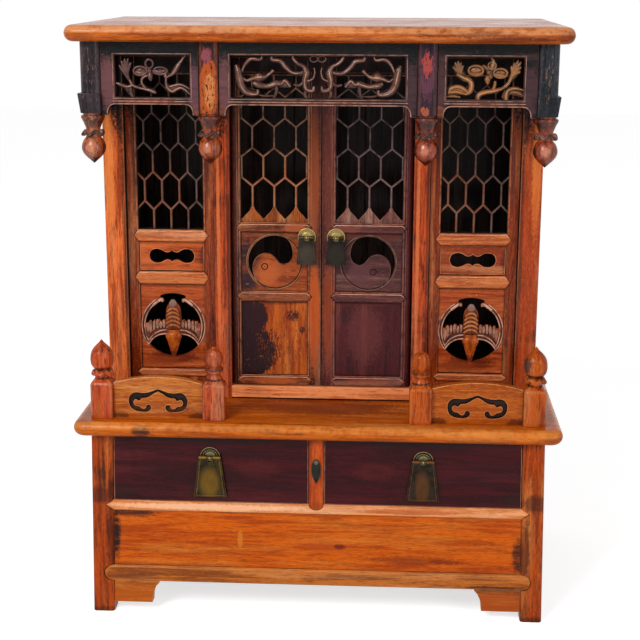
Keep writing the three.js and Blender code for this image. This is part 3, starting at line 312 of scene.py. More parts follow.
def set_in_place(name, mesh, material, body, slot, *replaced, smooth=smooth_below):
    """Makes the finished piece from its mesh: material, shading, and its place on the frame."""
    data = bpy.data.meshes.new(name)
    if isinstance(mesh, bmesh.types.BMesh):
        mesh.to_mesh(data)
        mesh.free()
    else:
        data = mesh
    data.materials.clear()
    data.materials.append(material)
    data.shade_smooth()
    data.set_sharp_from_angle(angle=smooth)
    piece = bpy.data.objects.new(name, data)
    bpy.context.scene.collection.objects.link(piece)
    weighting = piece.modifiers.new("even_shading", "WEIGHTED_NORMAL")
    weighting.keep_sharp = True
    weighting.weight = shading_weight
    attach(piece, body)
    if replaced:
        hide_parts(*replaced)
    return piece


def dressed(node, material, slot, edge=0.0016, body="carcass"):
    """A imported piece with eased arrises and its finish, standing in for the plain one."""
    return set_in_place(node + "_dressed", ease_edges(cad_copy(node), edge), material, body, slot, node)


for word, side in sides:
    leg_x = side * 0.37
    leg_lacquer = old_lacquer(
        "leg_orange_lacquer_" + word, leg_orange, leg_brown, leg_dark, leg_pale, "z", 0.35, 0.35, 0.36, 0.5,
        [((leg_x, -0.2155, 0.215), (0.03, 0.03, 0.02), leg_dark, 0.75),
         ((leg_x - side * 0.016, -0.2155, 0.13), (0.01, 0.03, 0.07), "481604", 0.8),
         ((leg_x, -0.2155, 0.0), (0.05, 0.05, 0.012), leg_dark, 0.6)],
        seed=side * 0.31,
    )
    for end in ("front", "back"):
        dressed(f"base_leg_{end}_{word}", leg_lacquer, "lacquer_orange", leg_edge)


# Base rails, boards and the divider: softwood rails lapped over the legs with pointed and
# rounded ends, a plain front board in grooves between them, and rough boards behind.
# The rails are rubbed paler on top, and grime has gathered at the ends of the front board.
rail_pale = "ec9c64"
rail_orange = "bf6a24"
panel_orange = "cc5a02"
divider_red = "c24a10"
board_brown = "6e3a20"
rough_wood = "5a3a26"
base_front = -0.2155

drawer_rail_lacquer = old_lacquer(
    "drawer_rail_lacquer", rail_pale, "c8743a", "93401c", "f4bc90", "x", 0.14, 0.3, 0.30, 0.7,
    [((-0.19, base_front, 0.197), (0.20, 0.02, 0.007), "fbc096", 0.8),
     ((0.16, base_front, 0.196), (0.10, 0.02, 0.006), "b04a22", 0.6),
     ((0.0, base_front, 0.187), (0.40, 0.02, 0.0022), "5e2a12", 0.5)])
bottom_rail_lacquer = old_lacquer(
    "bottom_rail_lacquer", rail_orange, "86400f", "5c2a10", "d6925c", "x", 0.25, 0.4, 0.36, 0.5,
    [((-0.31, base_front, 0.066), (0.05, 0.03, 0.008), "6e3a22", 0.6),
     ((0.30, base_front, 0.060), (0.07, 0.03, 0.006), "43200f", 0.8),
     ((-0.31, base_front, 0.030), (0.07, 0.05, 0.028), "b3540d", 0.8),
     ((0.31, base_front, 0.030), (0.07, 0.05, 0.028), "a9480e", 0.8)])
front_panel_lacquer = old_lacquer(
    "front_panel_lacquer", panel_orange, "a63e00", "5e2004", "e08a30", "x", 0.22, 0.55, 0.30, 0.5,
    [((-0.346, -0.21, 0.145), (0.012, 0.02, 0.06), "23130f", 1.0),
     ((-0.315, -0.21, 0.182), (0.05, 0.02, 0.010), "2b150f", 0.9),
     ((0.345, -0.21, 0.120), (0.014, 0.02, 0.04), "2b150f", 0.9),
     ((0.17, -0.21, 0.106), (0.11, 0.02, 0.010), "6d2209", 0.7),
     ((-0.13, -0.21, 0.138), (0.006, 0.02, 0.022), "d8862a", 0.5),
     ((0.02, -0.21, 0.130), (0.05, 0.02, 0.014), "b04a18", 0.5),
     ((0.04, -0.21, 0.128), (0.012, 0.02, 0.006), "5a1c08", 0.8)], seed=0.2)
divider_lacquer = old_lacquer(
    "divider_lacquer", divider_red, "8e3510", "53200c", "e38a4c", "z", 0.25, 0.3, 0.30, 0.6,
    [((0.0, base_front, 0.205), (0.014, 0.02, 0.009), "8a3a10", 0.6)])
board_lacquer = old_lacquer(
    "side_board_lacquer", board_brown, "4a2412", "2a140c", "9c6a40", "y", 0.45, 0.4, 0.45, 0.4)
rough_board_finish = old_lacquer(
    "rough_board_wood", rough_wood, "3c2618", "22150e", "8a6648", "x", 0.5, 0.3, 0.62, 0.3)

rail_edge, panel_edge, rough_edge = 0.0012, 0.0008, 0.0010
for node, finish, slot, edge in (
        ("drawer_rail", drawer_rail_lacquer, "lacquer_orange", rail_edge),
        ("base_bottom_rail", bottom_rail_lacquer, "lacquer_orange", rail_edge),
        ("base_front_panel", front_panel_lacquer, "lacquer_orange", panel_edge),
        ("drawer_divider", divider_lacquer, "lacquer_orange", rough_edge),
        ("base_side_left", board_lacquer, "lacquer_red_brown", rail_edge),
        ("base_side_right", board_lacquer, "lacquer_red_brown", rail_edge),
        ("base_back", rough_board_finish, "bare_wood", rough_edge),
        ("drawer_shelf", rough_board_finish, "bare_wood", rough_edge)):
    dressed(node, finish, slot, edge)


# Drawers: dovetailed softwood boxes, left bare inside, behind a thick front board that is
# lacquered almost black over maroon. The arrises of the front are rubbed to the pale wood.
drawer_maroon = "280307"
drawer_purple = "180406"
drawer_front_back = -0.1965
drawer_box_lacquer = old_lacquer(
    "drawer_box_wood", "8a6644", "6b4a2e", "4a3020", "b08c64", "y", 0.3, 0.2, 0.62, 0.3)


def paint_faces(piece, material, chosen):
    """Gives the chosen faces of a piece a finish of their own."""
    piece.data.materials.append(material)
    for face in piece.data.polygons:
        if chosen(face.center, face.normal):
            face.material_index = len(piece.data.materials) - 1


drawer_arris = old_lacquer(
    "drawer_arris", "8a5444", "5c3028", "2a1210", "c8947c", "x", 0.45, 0.9, 0.34, 0.8)

for word, side in sides:
    # The dark band along the top of the front, under the table board's overhang, is painted shadow.
    drawer_lacquer_and_shade = old_lacquer(
        "drawer_lacquer_and_shade_" + word, drawer_maroon, "3e060c", drawer_purple, "5c2024", "x", 0.42, 0.9, 0.36,
        0.6,
        [((side * 0.179, base_front, 0.322), (0.17, 0.02, 0.016), "1d1012", 0.8),
         ((side * 0.335, base_front, 0.222), (0.03, 0.02, 0.014), "24120f", 0.6),
         ((side * 0.10, base_front, 0.266), (0.05, 0.02, 0.02), "54181a", 0.5)],
        seed=side * 0.43)
    drawer = dressed(f"drawer_{word}", drawer_lacquer_and_shade, "lacquer_maroon", 0.0013, f"drawer_{word}")
    paint_faces(drawer, drawer_box_lacquer, lambda centre, normal: centre.y > drawer_front_back - 0.0005)
    paint_faces(drawer, drawer_arris, lambda centre, normal: centre.y < base_front + 0.0045 and
                0.30 < abs(normal.y) < 0.95)


# Drawer and door pulls: a round brass plate turned with rings, a stem through it, and a
# cross pin in rolled knuckles that carries a hanging plate with a thin raised border.
# The brass is old: bright only where fingers rub, olive and nearly black elsewhere.
pin_radius = 0.0013
pin_forward = 0.006
knuckle_radius = 0.0028
knuckle_gap = 0.005
pull_thickness = 0.002
plate_thickness = 0.0016
stem_radius = 0.0024
stem_length = 0.010
notch_half = 0.0044
notch_depth = 0.008
border_half, border_lift, border_depth = 0.0004, 0.0005, 0.0009
brass_metal = 0.85
brass_relief, brass_relief_depth = 0.25, 0.0003


def old_brass(name, bright, olive, dark, centre, reach, shine=0.5, rough=0.34):
    """Brass that is bright round one worn place and goes olive and dark away from it."""
    material, tree, shader, spot, rubbed = plain_shader(name)
    shader.inputs["Metallic"].default_value = brass_metal
    bloom = cloud(tree, spot, 85.0, 5.0, 0.6, 0.3)
    grit = cloud(tree, spot, 520.0, 3.0, 0.6)
    colour = lay_over(tree, between(tree, bloom, 0.38, 0.62), olive, dark)
    handled = work(tree, "MULTIPLY", patch_share(tree, spot, bloom, centre, reach), shine)
    colour = lay_over(tree, handled, colour, bright)
    colour = lay_over(
        tree, work(tree, "MULTIPLY", rubbed, between(tree, grit, 0.3, 0.55, 0.45, 0.95)), colour, bright)
    tree.links.new(colour, shader.inputs["Base Color"])
    tree.links.new(between(tree, bloom, 0.3, 0.7, rough, rough + 0.22), shader.inputs["Roughness"])
    bump = made(
        tree, "ShaderNodeBump", {"Height": grit, "Strength": brass_relief, "Distance": brass_relief_depth})
    tree.links.new(bump, shader.inputs["Normal"])
    return material


def turn(mesh, profile, axis_place, towards, steps=40, worn_at=()):
    """Turns a profile of (radius, distance) pairs about an axis and adds it to the mesh."""
    rubbed = rubbed_layer(mesh)
    upright = Vector(towards).to_track_quat("Z", "Y").to_matrix()
    rings = []
    for number, (radius, distance) in enumerate(profile):
        corners = 1 if radius < 1e-7 else steps
        ring = []
        for corner in range(corners):
            angle = math.tau * corner / steps
            point = Vector((radius * math.cos(angle), radius * math.sin(angle), distance))
            vert = mesh.verts.new(Vector(axis_place) + upright @ point)
            vert[rubbed] = 1.0 if number in worn_at else 0.0
            ring.append(vert)
        rings.append(ring)
    for low, high in zip(rings, rings[1:]):
        for corner in range(steps):
            after = (corner + 1) % steps
            if len(low) == 1:
                mesh.faces.new((low[0], high[after], high[corner]))
            elif len(high) == 1:
                mesh.faces.new((low[corner], low[after], high[0]))
            else:
                mesh.faces.new((low[corner], low[after], high[after], high[corner]))
    return mesh


def prism(mesh, outline, front, depth):
    """A board cut to an outline of (x, z) points, run back from its front face."""
    near = [mesh.verts.new((x, front, z)) for x, z in outline]
    far = [mesh.verts.new((x, front + depth, z)) for x, z in outline]
    faces = [mesh.faces.new(near), mesh.faces.new(list(reversed(far)))]
    for here in range(len(outline)):
        after = (here + 1) % len(outline)
        faces.append(mesh.faces.new((near[after], near[here], far[here], far[after])))
    bmesh.ops.recalc_face_normals(mesh, faces=faces)
    return faces


def pull_plate(name, x, back, z, radius, pin_half, material, body, node):
    """The round plate with its rings, the domed stem and the cross pin, as one fitting."""
    ring_shares = (
        (0.0, 0.0), (1.0, 0.0), (1.0, 0.75), (0.95, 1.0), (0.90, 0.95), (0.86, 0.55), (0.80, 0.55),
        (0.76, 1.0), (0.70, 1.05), (0.64, 0.6), (0.56, 0.6), (0.50, 1.0), (0.42, 1.12), (0.36, 0.9))
    profile = [(share * radius, height * plate_thickness) for share, height in ring_shares]
    profile += [
        (stem_radius * 1.25, plate_thickness * 1.2), (stem_radius, plate_thickness * 2.0),
        (stem_radius, stem_length - stem_radius), (stem_radius * 0.82, stem_length - stem_radius * 0.45),
        (stem_radius * 0.45, stem_length - stem_radius * 0.1), (0.0, stem_length)]
    mesh = turn(bmesh.new(), profile, (x, back, z), (0, -1, 0), worn_at=(3, 8, 12, 17, 18, 19))
    pin = [(0.0, -pin_half), (pin_radius, -pin_half), (pin_radius, pin_half), (0.0, pin_half)]
    turn(mesh, pin, (x, back - pin_forward, z), (1, 0, 0), 16)
    return set_in_place(name, mesh, material, body, "pale_brass", node)


def hanging_pull(name, x, back, z, top_width, bottom_width, drop, material, body, node):
    """The hanging plate: rolled knuckles, a notch for the stem and a raised border."""
    front = back - pin_forward - pull_thickness / 2
    top = z - pin_radius - 0.0005
    outline = [
        (x - bottom_width / 2, z - drop), (x + bottom_width / 2, z - drop), (x + top_width / 2, top),
        (x + notch_half, top), (x + notch_half, top - notch_depth * 0.6),
        (x + notch_half * 0.6, z - notch_depth), (x - notch_half * 0.6, z - notch_depth),
        (x - notch_half, top - notch_depth * 0.6), (x - notch_half, top), (x - top_width / 2, top)]
    mesh = bmesh.new()
    prism(mesh, outline, front, pull_thickness)
    ease_edges(mesh, 0.0005)
    rubbed = rubbed_layer(mesh)
    border = [
        (x + (px - x) * share, z - drop / 2 + (pz - z + drop / 2) * lift)
        for px, pz, share, lift in (
            (x - top_width / 2, z - notch_depth * 0.4, 0.84, 1.0),
            (x - bottom_width / 2, z - drop, 0.84, 0.92), (x + bottom_width / 2, z - drop, 0.84, 0.92),
            (x + top_width / 2, z - notch_depth * 0.4, 0.84, 1.0))]
    for (px, pz), (qx, qz) in zip(border, border[1:]):
        length = math.hypot(qx - px, qz - pz)
        wide_x, wide_z = (qz - pz) / length * border_half, -(qx - px) / length * border_half
        line = [(px - wide_x, pz - wide_z), (qx - wide_x, qz - wide_z), (qx + wide_x, qz + wide_z),
                (px + wide_x, pz + wide_z)]
        for face in prism(mesh, line, front - border_lift, border_depth):
            for vert in face.verts:
                vert[rubbed] = 0.9
    for sign in (-1, 1):
        length = top_width / 2 - knuckle_gap
        roll = [
            (pin_radius + 0.0003, 0.0), (knuckle_radius * 0.8, 0.0), (knuckle_radius, length * 0.12),
            (knuckle_radius, length * 0.88), (knuckle_radius * 0.8, length), (pin_radius + 0.0003, length),
            (pin_radius + 0.0003, 0.0)]
        turn(mesh, roll, (x + sign * knuckle_gap, back - pin_forward, z), (sign, 0, 0), 24, (2, 3))
    bmesh.ops.remove_doubles(mesh, verts=mesh.verts, dist=1e-6)
    return set_in_place(name, mesh, material, body, "dark_brass", node)


drawer_plate_radius = 0.017
drawer_pull_top = 0.038
drawer_pull_bottom = 0.056
drawer_pull_drop = 0.070
for word, side in sides:
    pull_x, pull_back, pull_z = side * 0.17944, -0.2128, 0.287
    plate_brass = old_brass(
        "drawer_plate_brass_" + word, "96865c", "2c281c", "161410", (pull_x, pull_back, pull_z),
        (0.012, 0.02, 0.012), 0.35)
    pull_brass = old_brass(
        "drawer_pull_brass_" + word, "7e5a16" if side < 0 else "6c401c", "342c14" if side < 0 else "2a2016",
        "15120d", (pull_x - 0.001, pull_back, pull_z - 0.046), (0.022 if side < 0 else 0.016, 0.03, 0.036),
        0.5 if side < 0 else 0.4)
    pull_plate(f"drawer_plate_{word}_dressed", pull_x, pull_back, pull_z, drawer_plate_radius,
               drawer_pull_top / 2, plate_brass, f"drawer_{word}", f"drawer_plate_{word}")
    hanging_pull(
        f"drawer_pull_{word}_dressed", pull_x, pull_back, pull_z, drawer_pull_top, drawer_pull_bottom,
        drawer_pull_drop, pull_brass, f"drawer_pull_{word}", f"drawer_pull_{word}")


# Drawer catch: a leaf cut from sheet iron and domed with a hammer, on a nail with a
# bright round head. It swings on the nail to bar one drawer or the other.
catch_z = 0.282
catch_half = 0.008
catch_drop = 0.038
catch_thickness = 0.002
nail_radius = 0.0016
nail_head_radius = 0.004
catch_iron = old_brass(
    "catch_iron", "5c564a", "24231e", "121210", (0.0, base_front, catch_z), (0.006, 0.01, 0.006), 0.5, 0.42)


def bowed(start, pull, end, steps):
    """Points on a curve from start to end, drawn towards the pull point."""
    points = []
    for step in range(steps):
        share = step / steps
        points.append(tuple(
            a * (1 - share) ** 2 + 2 * b * share * (1 - share) + c * share ** 2
            for a, b, c in zip(start, pull, end)))
    return points


catch_top = catch_z + nail_head_radius + 0.001
shoulder, belly, tip = catch_z - catch_drop * 0.35, catch_z - catch_drop * 0.7, catch_z - catch_drop
leaf_outline = (
    bowed((0.0, tip), (catch_half, belly), (catch_half, shoulder), 10)
    + bowed((catch_half, shoulder), (catch_half, catch_top), (0.0, catch_top), 10)
    + bowed((0.0, catch_top), (-catch_half, catch_top), (-catch_half, shoulder), 10)
    + bowed((-catch_half, shoulder), (-catch_half, belly), (0.0, tip), 10))
leaf = bmesh.new()
prism(leaf, leaf_outline, base_front - catch_thickness - 0.0005, catch_thickness)
ease_edges(leaf, 0.0006, from_angle=60)
nail_profile = [(0.0, -0.0137), (nail_radius, -0.0137), (nail_radius, 0.0027), (nail_head_radius, 0.0027),
                (nail_head_radius * 0.92, 0.0033), (nail_head_radius * 0.6, 0.0038), (0.0, 0.0041)]
turn(leaf, nail_profile, (0.0, base_front, catch_z), (0, -1, 0), 24, (4, 5, 6))
set_in_place("drawer_catch_dressed", leaf, catch_iron, "drawer_catch", "iron", "drawer_catch")


# Table board: one wide softwood plank with a soft bullnose all round, lacquered orange,
# with a scorch on its front edge and worn darker in front of the doors.
board_depth = 0.475
board_thickness = 0.026
board_round = 0.0125
board_corner = 0.021
board_flat = 0.004
board_hollow = 0.0006
board_orange = "c86008"


def wide_board(name, width, top, material, slot, node):
    """A plank whose four edges are rounded over, with corners rounded in plan."""
    mesh = bmesh.new()
    rubbed = rubbed_layer(mesh)
    half_height = board_thickness / 2
    bands = [(board_round * (1 - math.cos(math.radians(angle))), math.sin(math.radians(angle)))
             for angle in range(90, -91, -15)]
    bands = [(board_round + board_flat, 1.0)] + bands + [(board_round + board_flat, -1.0)]
    rings = []
    for inset, rise in bands:
        ring = []
        for quarter, (sign_x, sign_y) in enumerate(((1, 1), (-1, 1), (-1, -1), (1, -1))):
            reach = max(board_corner - inset, 0.001)
            for step in range(7):
                angle = math.pi / 2 * (quarter + step / 6)
                x = sign_x * (width / 2 - inset - reach) + reach * math.cos(angle)
                y = sign_y * (board_depth / 2 - inset - reach) + reach * math.sin(angle)
                ring.append((x, y))
        filled = []
        for (x, y), (next_x, next_y) in zip(ring, ring[1:] + ring[:1]):
            pieces = 24 if math.hypot(next_x - x, next_y - y) > 0.1 else 1
            filled += [
                (x + (next_x - x) * i / pieces, y + (next_y - y) * i / pieces)
                for i in range(pieces)]
        edge_verts = []
        for x, y in filled:
            hollow = board_hollow * (
                math.sin(x * 19 + top * 7) + math.sin(y * 23 + x * 7)) * (1 - abs(rise))
            pull = 1 - max(0.0, hollow) / 0.2
            vert = mesh.verts.new((x * pull, y * pull, top - half_height + rise * half_height))
            vert[rubbed] = 0.85 if 0.2 < rise < 0.99 else 0.0
            edge_verts.append(vert)
        rings.append(edge_verts)
    for upper, lower in zip(rings, rings[1:]):
        for here in range(len(upper)):
            after = (here + 1) % len(upper)
            mesh.faces.new((upper[here], lower[here], lower[after], upper[after]))
    mesh.faces.new(rings[0])
    mesh.faces.new(list(reversed(rings[-1])))
    bmesh.ops.recalc_face_normals(mesh, faces=mesh.faces)
    return set_in_place(name, mesh, material, "carcass", slot, node, smooth=smooth_turned)


# The dull band along the bottom of the front edge, where it turns under, is painted shade.
table_lacquer_and_shade = old_lacquer(
    "table_board_lacquer", board_orange, "a44400", "5a2006", "e6964a", "x", 0.24, 0.5, 0.22, 0.5,
    [((-0.292, -0.237, 0.334), (0.020, 0.012, 0.016), "3a1a14", 0.95),
     ((0.0, -0.120, 0.352), (0.18, 0.06, 0.01), "6e2404", 0.9),
     ((-0.06, -0.225, 0.352), (0.10, 0.008, 0.004), "8a3a10", 0.5),
     ((0.02, -0.237, 0.3245), (0.42, 0.012, 0.0045), "8a4a24", 0.55),
     ((-0.39, -0.20, 0.345), (0.02, 0.06, 0.02), "7a3f22", 0.5),
     ((0.39, -0.22, 0.336), (0.03, 0.04, 0.01), "7a3412", 0.5)])
wide_board("table_board_dressed", 0.818, 0.350, table_lacquer_and_shade, "lacquer_orange", "table_board")


# Cabinet frame: posts of squared softwood run from the table board to the top board, the
# front ones reeded down their faces, tenoned to a sill and a head rail with the pivot holes.
post_orange = "de6c2e"
post_red = "c24a1a"
post_front = -0.0855
post_edge, thin_edge = 0.0016, 0.0012
# Faces that look into the cabinet get a near-black finish: painted shade of the closed inside.
inside_shade_from_y, inside_shade_within_x = -0.074, 0.345
inside_shade_wood = old_lacquer(
    "inside_shade_wood", "30221f", "1c1412", "0e0a09", "5c463c", "z", 0.5, 0.3, 0.6, 0.4, glaze=0.0)


def paint_inside_shade(piece):
    """Darkens the faces of a piece that look into the cabinet: painted shade of the closed inside."""
    def looks_in(centre, normal):
        """Whether a face lies behind the front frame and is turned to the inside."""
        if abs(normal.y) > 0.5:
            return centre.y > inside_shade_from_y and (normal.y > 0.5) == (centre.y < 0.0)
        return centre.y > inside_shade_from_y and (centre.x * normal.x < 0.0 or abs(centre.x) < inside_shade_within_x)

    paint_faces(piece, inside_shade_wood, looks_in)
    return piece


for word, side in sides:
    post_x = side * 0.354
    # The patch at height 0.975 darkens the top of the post: painted shade under the porch and top board.
    corner_lacquer_and_shade = old_lacquer(
        "corner_post_lacquer_" + word, post_orange if side < 0 else "a83c14", "963812", "4a1c10", "e39a68",
        "z", 0.28 if side < 0 else 0.48, 0.35, 0.30, 0.5,
        [((post_x - side * 0.016, post_front, 0.60), (0.006, 0.02, 0.30), "33170f", 0.75),
         ((post_x - side * 0.014, post_front, 0.86), (0.012, 0.02, 0.08), "2a1510", 0.8),
         ((post_x, post_front, 0.975), (0.06, 0.04, 0.175), "160c0c", 1.9),
         ((post_x + side * 0.008, post_front, 0.76), (0.010, 0.02, 0.14), "e07c38", 0.6)],
        seed=side * 0.21)
    inner_x = side * 0.1705
    # Painted light on the reeded face: the pale strip left of the middle is a painted highlight, the dark
    # strip at the right edge painted shade, and the patch at height 0.975 painted shade under the porch.
    inner_lacquer_shade_and_glare = old_lacquer(
        "inner_post_lacquer_" + word, post_red, "76290f", "3a160e", "d9825a", "z", 0.38, 0.35, 0.28, 0.6,
        [((inner_x + 0.011, post_front, 0.62), (0.004, 0.02, 0.34), "4a1c14", 0.8),
         ((inner_x, post_front, 0.975), (0.06, 0.04, 0.175), "160c0c", 1.9),
         ((inner_x - 0.006, post_front, 0.62), (0.004, 0.02, 0.30), "d8703c", 0.7)], seed=side * 0.57)
    paint_inside_shade(dressed(f"cabinet_post_front_{word}", corner_lacquer_and_shade, "lacquer_orange", post_edge))
    paint_inside_shade(dressed(f"cabinet_post_inner_{word}", inner_lacquer_shade_and_glare, "lacquer_orange", thin_edge))
    paint_inside_shade(dressed(f"cabinet_post_back_{word}", corner_lacquer_and_shade, "lacquer_orange", post_edge))
    paint_inside_shade(dressed(f"cabinet_side_{word}", board_lacquer, "lacquer_red_brown", thin_edge))
# The sill's orange lacquer is made pale, almost peach: partly its own colour, partly a painted highlight.
sill_lacquer_and_highlight = old_lacquer(
    "sill_lacquer_and_highlight", "f6965c", "d0703a", "8a3c1e", "ffc8a4", "x", 0.2, 0.4, 0.30, 0.5)
# The head rail is nearly black: dark lacquer, made darker as painted shade under the porch.
head_rail_lacquer_and_shade = old_lacquer(
    "head_rail_lacquer_and_shade", "241412", "180e0e", "0e0808", "8a5a3c", "x", 0.5, 0.4, 0.42, 0.5)
dressed("sill_rail", sill_lacquer_and_highlight, "lacquer_orange", thin_edge)
paint_inside_shade(dressed("head_rail", head_rail_lacquer_and_shade, "lacquer_black", thin_edge))


# Cabinet back: upright planks of unlacquered softwood edge to edge, their arrises knocked
# off, coloured nearly black: grey-brown wood darkened as painted shade of the closed cabinet.
plank_count = 5
back_half = 0.3357
back_front, back_rear = 0.2065, 0.2185
back_bottom, back_top = 0.3503, 0.9737
plank_ease = 0.0028
# Grey-brown wood colour darkened nearly to black: painted shade of the closed cabinet.
plank_wood_and_shade = old_lacquer(
    "back_plank_wood", "30221d", "1a1210", "0c0808", "584640", "z", 0.5, 0.3, 0.66, 0.5)


def size_tree(name, sizes):
    """An empty geometry tree whose inputs are the named sizes."""
    tree = bpy.data.node_groups.new(name, "GeometryNodeTree")
    tree.interface.new_socket("Geometry", in_out="OUTPUT", socket_type="NodeSocketGeometry")
    tree.interface.new_socket("Path", in_out="INPUT", socket_type="NodeSocketGeometry")
    for label, value in sizes.items():
        kind = "NodeSocketInt" if isinstance(value, int) else "NodeSocketFloat"
        tree.interface.new_socket(label, in_out="INPUT", socket_type=kind).default_value = value
    return tree, tree.nodes.new("NodeGroupInput").outputs


def point_at(tree, x=0.0, y=0.0, z=0.0):
    """A place made of three sizes."""
    return made(tree, "ShaderNodeCombineXYZ", {0: x, 1: y, 2: z})


def place_parts(tree):
    """The X, Y and Z of the point that a tree is at."""
    return add_node(tree, "ShaderNodeSeparateXYZ", {0: made(tree, "GeometryNodeInputPosition")}).outputs


def mark_rubbed(tree, geometry, share):
    """Marks the points of a section that the lacquer is rubbed off."""
    return made(
        tree, "GeometryNodeStoreNamedAttribute", {"Geometry": geometry, "Name": "rubbed", "Value": share},
        data_type="FLOAT", domain="POINT")


def close_tree(tree, geometry, material):
    """Ends a geometry tree: real meshes with the piece's finish."""
    real = made(tree, "GeometryNodeRealizeInstances", {0: geometry})
    finished = made(tree, "GeometryNodeSetMaterial", {"Geometry": real, "Material": material})
    add_node(tree, "NodeGroupOutput", {0: finished})


def grow(name, tree, sizes, carrier_data=None):
    """Runs a geometry tree once and gives back what it made as a plain mesh."""
    carrier = bpy.data.objects.new(
        name + "_pattern", carrier_data or bpy.data.meshes.new(name + "_pattern"))
    bpy.context.scene.collection.objects.link(carrier)
    modifier = carrier.modifiers.new("pattern", "NODES")
    modifier.node_group = tree
    for item in tree.interface.items_tree:
        if item.in_out == "INPUT" and item.name in sizes:
            modifier[item.identifier] = sizes[item.name]
    carrier.update_tag()
    graph = bpy.context.evaluated_depsgraph_get()
    graph.update()
    grown = bpy.data.meshes.new_from_object(carrier.evaluated_get(graph), depsgraph=graph)
    bpy.data.objects.remove(carrier)
    return grown


plank_sizes = {
    "Planks": plank_count, "Left": -back_half, "Right": back_half, "Depth": back_rear - back_front,
    "Height": back_top - back_bottom, "Ease": plank_ease}
plank_tree, size = size_tree("back_planks", plank_sizes)
plank_width = work(
    plank_tree, "DIVIDE", work(plank_tree, "SUBTRACT", size["Right"], size["Left"]), size["Planks"])
slice_shape = made(
    plank_tree, "GeometryNodeCurvePrimitiveQuadrilateral", {"Width": plank_width, "Height": size["Depth"]})
slice_shape = made(
    plank_tree, "GeometryNodeFilletCurve", {"Curve": slice_shape, "Radius": size["Ease"], "Count": 2},
    mode="POLY")
plank_run = made(
    plank_tree, "GeometryNodeCurvePrimitiveLine", {"End": point_at(plank_tree, z=size["Height"])})
plank = made(
    plank_tree, "GeometryNodeCurveToMesh",
    {"Curve": plank_run, "Profile Curve": slice_shape, "Fill Caps": True})
first_plank = work(plank_tree, "MULTIPLY_ADD", plank_width, 0.5, size["Left"])
plank_row = made(
    plank_tree, "GeometryNodeMeshLine",
    {"Count": size["Planks"],
     "Start Location": point_at(plank_tree, first_plank, (back_front + back_rear) / 2, back_bottom),
     "Offset": point_at(plank_tree, plank_width)})
plank_copies = made(
    plank_tree, "GeometryNodeInstanceOnPoints", {"Points": plank_row, "Instance": plank})
close_tree(plank_tree, plank_copies, plank_wood_and_shade)
set_in_place(
    "back_planks", grow("back_planks", plank_tree, plank_sizes), plank_wood_and_shade, "carcass", "bare_wood",
    "cabinet_back")


# Bays: fixed frames beside the doors, mortised and pegged, each with a lattice of long
# hexagons above, a board pierced with a slot, and a round opening that holds a carved bat.
# The raised bars between the panels are chamfered and end in points over the stiles.
leaf_front = -0.0745
bay_thickness = 0.018
bay_inner, bay_outer = 0.1843, 0.3357
bay_stile = 0.019
bay_levels = (0.3733, 0.4013, 0.5533, 0.5763, 0.6283, 0.6498, 0.9137, 0.9437)
inset_recess = 0.004
inset_thickness = 0.008
groove_depth = 0.003
bar_proud = 0.0025
bar_point = 0.008
ledge_half, ledge_end_half = 0.0006, 0.0004
board_gap = 0.0003
surface_lift = 0.0001
bay_centre = (bay_inner + bay_outer) / 2
bay_opening = bay_outer - bay_inner - 2 * bay_stile
slot_half_width, slot_half_height = 0.040, 0.013
slot_quarter = (
    (0, 0.9), (0.04, 0.72), (0.12, 0.58), (0.22, 0.54), (0.32, 0.64), (0.42, 0.84),
    (0.54, 0.97), (0.68, 1), (0.82, 0.9), (0.93, 0.64), (0.98, 0.32), (1, 0))
lattice_bar, lattice_depth = 0.0040, 0.008
hexagon_upright, hexagon_rise = 0.0355, 0.015
bay_pitch, bay_first_row = 0.0299, 0.0155

hexagon_sizes = {
    "Left": 0.0, "Right": 1.0, "Bottom": 0.0, "Top": 1.0, "Front": 0.0, "First row": 0.0, "Pitch": 0.03,
    "Upright": hexagon_upright, "Rise": hexagon_rise, "Bar": lattice_bar, "Depth": lattice_depth,
    "Tuck": 0.002, "Columns": 9, "Rows": 6}


